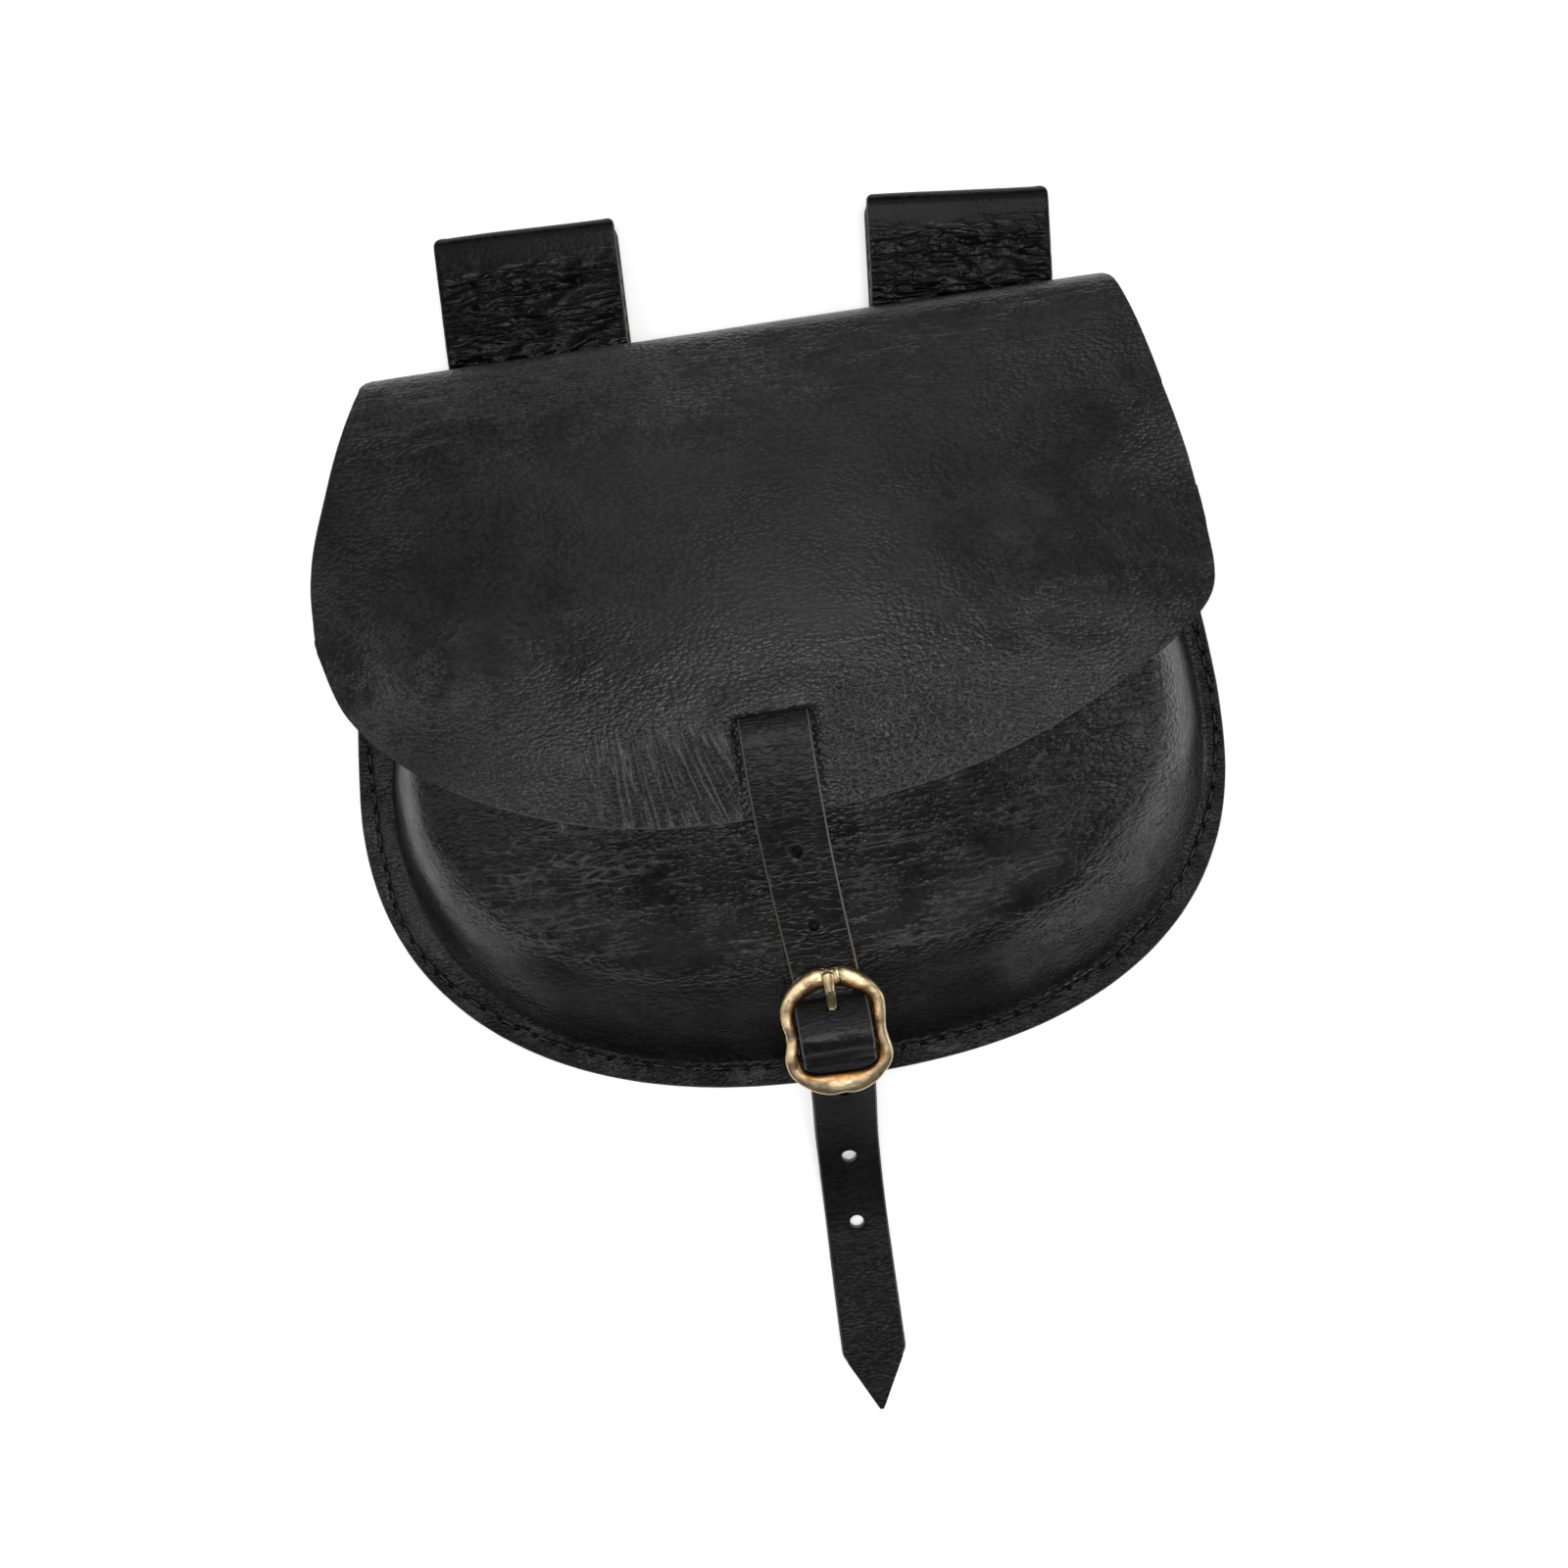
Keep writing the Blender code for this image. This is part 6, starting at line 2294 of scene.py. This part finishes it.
    def build_tongue(self, brass: Material) -> Piece:
        """Build the tongue, bent round the centre bar with its tip on the top bar, and dress it.

        Args:
            brass: its finish.

        Returns:
            The finished piece.
        """
        centre, radius = self.form.centre, self.form.tongue_radius
        angle = np.radians(np.linspace(-165, 90, 64))
        bend = np.column_stack((centre + radius * np.cos(angle), radius * np.sin(angle)))
        straight = self.form.tongue_line()
        tip = straight[-1, 0]
        path = np.concatenate((bend, straight))
        ahead = unit(np.gradient(path, axis=0))
        to_tip = np.where(np.arange(len(path)) > len(bend), path[:, 0] - tip, 1.0)
        taper = self.round_end(to_tip, self.tip_round) * self.round_end(arc_lengths(path), self.start_round)
        pad = 1 + self.pad_swell * bell(to_tip - self.pad_place, self.pad_reach)
        side_view = self.form.point(path[:, 0], path[:, 1])
        middles = np.column_stack((np.full(len(path), self.form.middle), side_view))
        half = self.form.tongue_thickness / 2 * taper
        outer = self.form.point(path[:, 0] - ahead[:, 1] * half, path[:, 1] + ahead[:, 0] * half)
        ups = np.column_stack((np.zeros(len(path)), outer - middles[:, 1:]))
        sides = np.zeros_like(ups)
        sides[:, 0] = self.form.tongue_width / 2 * pad * taper
        skin = self.rod(middles, sides, ups)
        self.lumps(skin, self.tongue_lumps)
        piece = add_piece("buckle_tongue_brass", self.closed(skin), [brass])
        return dress(piece, Slot.BRASS, "buckle_tongue")

    def build(self) -> list[Piece]:
        """Build both pieces of the buckle.

        Returns:
            The frame and the tongue.
        """
        brass = BrassFinish().build()
        return [self.build_frame(brass), self.build_tongue(brass)]


@dataclass(frozen=True)
class Ribbon:
    """Strip of leather of one width along a side-view line, before its thickness."""

    width: float
    thickness: float
    columns: int
    step: float
    turn: float

    def skin(self, path: Array, outward: int, middle: Callable[[Array], Array]) -> Skin:
        """Outer side of the strip.

        Args:
            path: middle line in side view, as many points (y, z).
            outward: 1 if its outer side is on the left of the line as it runs, -1 if on the right.
            middle: sideways place of the strip's middle at each y.

        Returns:
            The skin, with its flat places across and along.
        """
        y, z, along = respaced(path, self.step, self.turn).T
        across = np.linspace(-1, 1, self.columns + 1) * self.width / 2
        half = np.broadcast_to(across, (len(y), len(across)))
        x = half + middle(y)[:, None]
        points = np.stack((x, *(np.broadcast_to(axis[:, None], x.shape) for axis in (y, z))), axis=-1)
        flat = np.stack((half, np.broadcast_to(along[:, None], x.shape)), axis=-1)
        skin = Skin(points, outward=outward, flat=flat)
        skin.raised(self.thickness / 2)
        return skin


@dataclass(frozen=True)
class BuckleTab:
    """Tab that carries the buckle, folded round its centre bar and sewn to the lower wall."""

    front: PouchFront
    buckle: BuckleForm
    width: float = 0.0165
    sewn: float = 0.0110
    rise_angle: float = math.radians(82)
    bend: float = 0.007
    slot_length: float = 0.008
    tongue_room: float = 0.0008
    waves: Waves = Waves(0.00006, (0.004, 0.0018), 4.4)
    edge: float = 0.00030
    columns: int = 22
    step: float = 0.0008
    turn: float = math.radians(10)
    grain: LeatherFinish = LeatherFinish(
        "leather_tab", follows_cut=True, dulled=False, crease_size=(0.0036, 0.0011, 0.0036)
    )
    flat_size: tuple[float, float] = (0.0165, 0.0778)

    def wall(self, offset: float) -> tuple[Array, Array]:
        """Sewn stretch of the lower wall, moved out from its surface, and the heading at its top.

        Args:
            offset: distance from the surface.

        Returns:
            The stretch, and that heading.
        """
        form = self.front.form
        share = np.linspace(0.07, 0.9, 601)
        foot = self.front.flange * float(self.front.wall_foot(0.5))
        inward = foot + self.front.wall_run * float(self.front.wall_reach(0.5)) * share
        y = -form.crest + inward
        top = self.front.top(y)
        z = top + (form.face(0.0, y) - top) * self.front.wall_rise(share)
        wall = np.column_stack((y, z))
        sewn = wall[arc_lengths(wall) <= self.sewn]
        ahead = unit(np.gradient(sewn, axis=0))
        return sewn + offset * np.column_stack((-ahead[:, 1], ahead[:, 0])), ahead[-1]

    def path(self) -> Array:
        """Middle line of the folded tab: up from the wall, round the bar and down again.

        Returns:
            Points (y, z).
        """
        gap, thick = self.buckle.form.gap, self.buckle.tab_thickness
        near, heading = self.wall(gap + thick / 2)
        far, _ = self.wall(2 * gap + 1.5 * thick)
        bar = self.buckle.point(self.buckle.centre, 0.0)
        radius = self.buckle.wrap_radius - thick / 2
        rise = np.array((math.cos(self.rise_angle), math.sin(self.rise_angle)))
        angle = self.rise_angle - math.pi / 2 + np.linspace(0, math.pi, 61)
        wrap = bar + radius * np.column_stack((np.cos(angle), np.sin(angle)))
        up = bezier((near[-1], near[-1] + self.bend * heading, wrap[0] - self.bend * rise, wrap[0]), 41)
        down = bezier((far[-1], far[-1] + self.bend * heading, wrap[-1] - self.bend * rise, wrap[-1]), 41)
        return np.concatenate((near, up[1:-1], wrap, down[::-1][1:-1], far[::-1]))

    def build(self) -> Piece:
        """Build the tab and dress it.

        Returns:
            The finished piece.
        """
        leather = LeatherSet.of(self.grain)
        ribbon = Ribbon(self.width, self.buckle.tab_thickness, self.columns, self.step, self.turn)
        skin = ribbon.skin(self.path(), 1, lambda y: np.full_like(y, self.buckle.middle))
        skin.raised(self.waves(skin.flat))
        strengths = {"grain": 0.8, "crease": 0.7}
        skin.marks = {name: np.full(skin.points.shape[:2], share) for name, share in strengths.items()}
        piece = add_piece("buckle_tab_leather", skin.mesh(), leather.all())
        give_thickness(piece, self.buckle.tab_thickness, self.edge)
        bm = bmesh.new()
        slot = (self.buckle.tongue_width + self.tongue_room, self.slot_length, self.slot_length)
        self.buckle.add_box(bm, slot, self.buckle.point(self.buckle.centre, 0.0))
        cut(piece, bm, leather.edge)
        dress(piece, Slot.LEATHER, "buckle_tab")
        return piece


@dataclass(frozen=True)
class BeltLoop:
    """Belt loop: a folded strip of leather whose two ends lie under the back panel."""

    node: str
    form: PouchForm
    aside: float
    stands_out: float
    lean: float
    seed: float
    width: float = 0.0493
    length: float = 0.078
    room: float = 0.0062
    bend: float = 0.013
    tuck: float = 0.0084
    edge: float = 0.00045
    corner: float = 0.0032
    columns: int = 64
    step: float = 0.00062
    turn: float = math.radians(6)
    on_top: Fade = Fade(0.0035, 0.003)
    before_turn: Fade = Fade(0.0070, 0.009)
    in_turn: Fade = Fade(0.0040, -0.0025)
    off_side: Fade = Fade(0.0, 0.003)
    wander: Waves = Waves(0.0008, (0.009, 0.005), 2.5)
    fold_size: tuple[float, float] = (0.0085, 0.0023)
    fine_size: tuple[float, float] = (0.0036, 0.0012)
    wave_size: tuple[float, float] = (0.020, 0.012)
    fold_height: float = 0.00050
    wave_height: float = 0.00018
    rim_height: float = 0.00012
    rim_place: float = 0.0012
    rim_reach: float = 0.0004
    grain: LeatherFinish = LeatherFinish(
        "belt_loop_finish",
        # Painted shade: the loops' colours are far darker than the rest of the leather, standing in for the
        # loops lying in shade.
        dark=(0.0010, 0.0010, 0.0010),
        light=(0.0034, 0.0033, 0.0033),
        rub_highlight=0.08,
        gloss=(0.20, 0.34),
        crease_size=(0.0085, 0.0017, 0.0060),
        crease_wander=0.5,
        crease_depth=0.00034,
        grain_depth=0.00012,
        shine=0.13,
        follows_cut=True,
    )
    flat_size: tuple[float, float] = (0.0493, 0.1601)

    def path(self) -> Array:
        """Middle line in side view: out along the table, back over the room for the belt.

        Returns:
            Points (y, z).
        """
        thick = self.form.loop_thickness
        half = thick / 2
        radius = half + self.room / 2
        turn, crest = self.length - radius - half, self.length - self.stands_out
        bend_end = crest - self.tuck + self.width / 2 * abs(math.sin(self.lean))
        low, high = half + thick + self.form.gap, half + 2 * radius
        out = np.column_stack((np.linspace(0, turn, 160), np.full(160, half)))
        angle = np.linspace(-math.pi / 2, math.pi / 2, 61)[1:]
        round_end = np.column_stack((turn + radius * np.cos(angle), half + radius + radius * np.sin(angle)))
        share = np.linspace(1, 0, 61)
        over = np.linspace(turn, bend_end + self.bend, 60)[1:-1]
        back = np.column_stack((over, np.full_like(over, high)))
        down = np.column_stack((bend_end + self.bend * share, low + (high - low) * smooth(share)))
        inside = np.linspace(bend_end, 0, 60)[1:]
        inside = np.column_stack((inside, np.full_like(inside, low)))
        return np.concatenate((out, round_end, back, down, inside))

    def skin(self) -> Skin:
        """Outer side of the strip, with its crinkles.

        Returns:
            The skin, in its place on the pouch.
        """
        ribbon = Ribbon(self.width, self.form.loop_thickness, self.columns, self.step, self.turn)
        crest = self.length - self.stands_out
        skin = ribbon.skin(self.path(), -1, np.zeros_like)
        y, z = skin.points[..., 1], skin.points[..., 2]
        from_side, from_end = self.width / 2 - np.abs(skin.flat[..., 0]), self.length - y
        top = self.on_top(z)
        shown = self.before_turn(from_end) * top
        bent = skin.flat + np.stack((np.zeros_like(y), self.wander(skin.flat)), axis=-1)
        folds = 0.8 - 1.9 * np.abs(ripples(bent, self.fold_size, self.seed))
        folds += 0.35 * ripples(skin.flat, self.fine_size, self.seed + 3.7)
        waves = ripples(skin.flat, self.wave_size, self.seed + 8.1)
        relief = self.fold_height * folds * shown + self.wave_height * waves * top
        rim = self.rim_height * bell(from_side - self.rim_place, self.rim_reach) * smooth((z - 0.003) / 0.003)
        skin.raised(relief * (0.35 + 0.65 * self.off_side(from_side)) + rim)
        turning = self.in_turn(from_end)
        dull = -0.9 * (1 - shown) * (1 - turning) + 0.6 * turning
        skin.marks = {"grain": 0.30 + 0.4 * shown, "crease": 0.05 + 0.85 * shown, "dull": dull}
        skin.points = skin.points - (0.0, crest, 0.0)
        self.round_corners(skin, crest)
        cos_lean, sin_lean = math.cos(self.lean), math.sin(self.lean)
        turned = np.array(((cos_lean, sin_lean, 0.0), (-sin_lean, cos_lean, 0.0), (0.0, 0.0, 1.0)))
        skin.points = skin.points @ turned + (self.aside, self.form.crest, 0.0)
        return skin

    def round_corners(self, skin: Skin, crest: float) -> None:
        """Pull the sides in where the strip turns back at its end, so that its corners are round.

        Args:
            skin: of the strip.
            crest: where the fold crosses the strip.
        """
        from_end = self.length - crest - skin.points[..., 1]
        short = np.clip(1 - from_end / self.corner, 0.0, 1.0)
        pull = self.corner * (1 - np.sqrt(1 - short**2)) * 0.8
        half = skin.points[..., 0]
        side = smooth((np.abs(half) - self.width / 2 + 0.006) / 0.006)
        skin.points[..., 0] = half - np.sign(half) * pull * side

    def build(self) -> Piece:
        """Build the loop and dress it.

        Returns:
            The finished piece.
        """
        grain = replace(self.grain, name=self.node + "_finish")
        leather = LeatherSet.of(grain)
        piece = add_piece(self.node + "_leather", self.skin().mesh(), leather.all())
        give_thickness(piece, self.form.loop_thickness, self.edge)
        dress(piece, Slot.LEATHER, self.node)
        return piece


@dataclass(frozen=True)
class Softbox:
    """One soft light: where it hangs, the length of its side in metres, and its watts."""

    name: str
    place: Triple
    size: float
    power: float


@dataclass(frozen=True)
class Studio:
    """White table, soft lights from above, and the camera that looks straight down."""

    camera_place: Triple = (-0.0027, -0.020, 0.400)
    camera_turn: float = math.radians(-8.5)
    lens: float = 33.09
    sensor: float = 36.0
    floor_size: float = 6.0
    floor_level: float = -0.0003
    sky: float = 0.10
    glow: float = 0.40
    softboxes: tuple[Softbox, ...] = (
        Softbox("overhead_softbox", (0.08, -0.20, 1.5), 0.65, 8.6),
        Softbox("middle_softbox", (0.20, 0.55, 1.40), 0.7, 2.2),
        Softbox("upper_softbox", (0.0, 1.15, 1.15), 1.2, 1.9),
        Softbox("upper_left_softbox", (-0.80, -0.25, 1.25), 0.7, 3.6),
        Softbox("right_softbox", (1.5, -0.30, 0.75), 0.8, 7.0),
        Softbox("left_softbox", (-1.5, -0.20, 0.75), 0.6, 2.2),
    )

    def build(self) -> None:
        """Put up the table, the lights and the camera."""
        self.floor()
        for softbox in self.softboxes:
            self.lamp(softbox)
        self.surroundings()
        self.camera()

    def floor(self) -> None:
        """Plain pale table."""
        bm = bmesh.new()
        bmesh.ops.create_grid(bm, x_segments=1, y_segments=1, size=self.floor_size / 2)
        bmesh.ops.translate(bm, verts=bm.verts, vec=(0.0, 0.0, self.floor_level))
        g = Graph("white_table")
        g.give("Base Color", (0.92, 0.92, 0.92, 1.0))
        g.give("Roughness", 0.95)
        g.give("Specular IOR Level", 0.1)
        g.give("Emission Color", (1.0, 1.0, 1.0, 1.0))
        g.give("Emission Strength", self.glow)
        table = add_piece("table", bm, [g.material])

    def lamp(self, softbox: Softbox) -> None:
        """Hang a square soft light that looks at the pouch.

        Args:
            softbox: its name, place, size and power.
        """
        data = bpy.data.lights.new(softbox.name, "AREA")
        data.shape = "SQUARE"
        data.size = softbox.size
        data.energy = softbox.power
        lamp = bpy.data.objects.new(softbox.name, data)
        lamp.location = softbox.place
        lamp.rotation_euler = (-Vector(softbox.place)).to_track_quat("-Z", "Y").to_euler()
        bpy.context.scene.collection.objects.link(lamp)

    def surroundings(self) -> None:
        """Even grey-white light from all round, and plain colour handling."""
        scene = bpy.context.scene
        world = scene.world or bpy.data.worlds.new("studio")
        scene.world = world
        world.use_nodes = True
        background = world.node_tree.nodes["Background"]
        background.inputs["Color"].default_value = (1.0, 1.0, 1.0, 1.0)
        background.inputs["Strength"].default_value = self.sky
        scene.view_settings.view_transform = "Standard"

    def camera(self) -> None:
        """Camera at the photograph's place and angle."""
        data = bpy.data.cameras.new("camera")
        data.lens = self.lens
        data.sensor_width = self.sensor
        data.clip_start = 0.01
        camera = bpy.data.objects.new("camera", data)
        camera.location = self.camera_place
        camera.rotation_euler = (0.0, 0.0, self.camera_turn)
        bpy.context.scene.collection.objects.link(camera)
        bpy.context.scene.camera = camera


def main() -> None:
    """Build every piece of the pouch in order, and report each."""
    logging.basicConfig(level=logging.INFO, format="%(name)s: %(message)s")
    Studio().build()
    form = PouchForm()
    buckle = BuckleForm(form)
    seam = SeamLine(form)
    front = PouchFront(form, seam)
    makers = [
        BackAndFlap(form, buckle),
        front,
        Stitching(form, seam, front),
        ClosingStrap(form, buckle),
        Buckle(buckle),
        BuckleTab(front, buckle),
        BeltLoop("belt_loop_left", form, -0.051289, stands_out=0.038532, lean=math.radians(-1.4), seed=1.3),
        BeltLoop("belt_loop_right", form, 0.064379, stands_out=0.031746, lean=math.radians(-5.5), seed=5.8),
    ]
    for maker in makers:
        made = maker.build()
        for piece in made if isinstance(made, list) else [made]:
            triangles = sum(len(face.vertices) - 2 for face in piece.data.polygons)
            log.info("%s: %d triangles", piece.name, triangles)


if __name__ == "__main__":
    main()
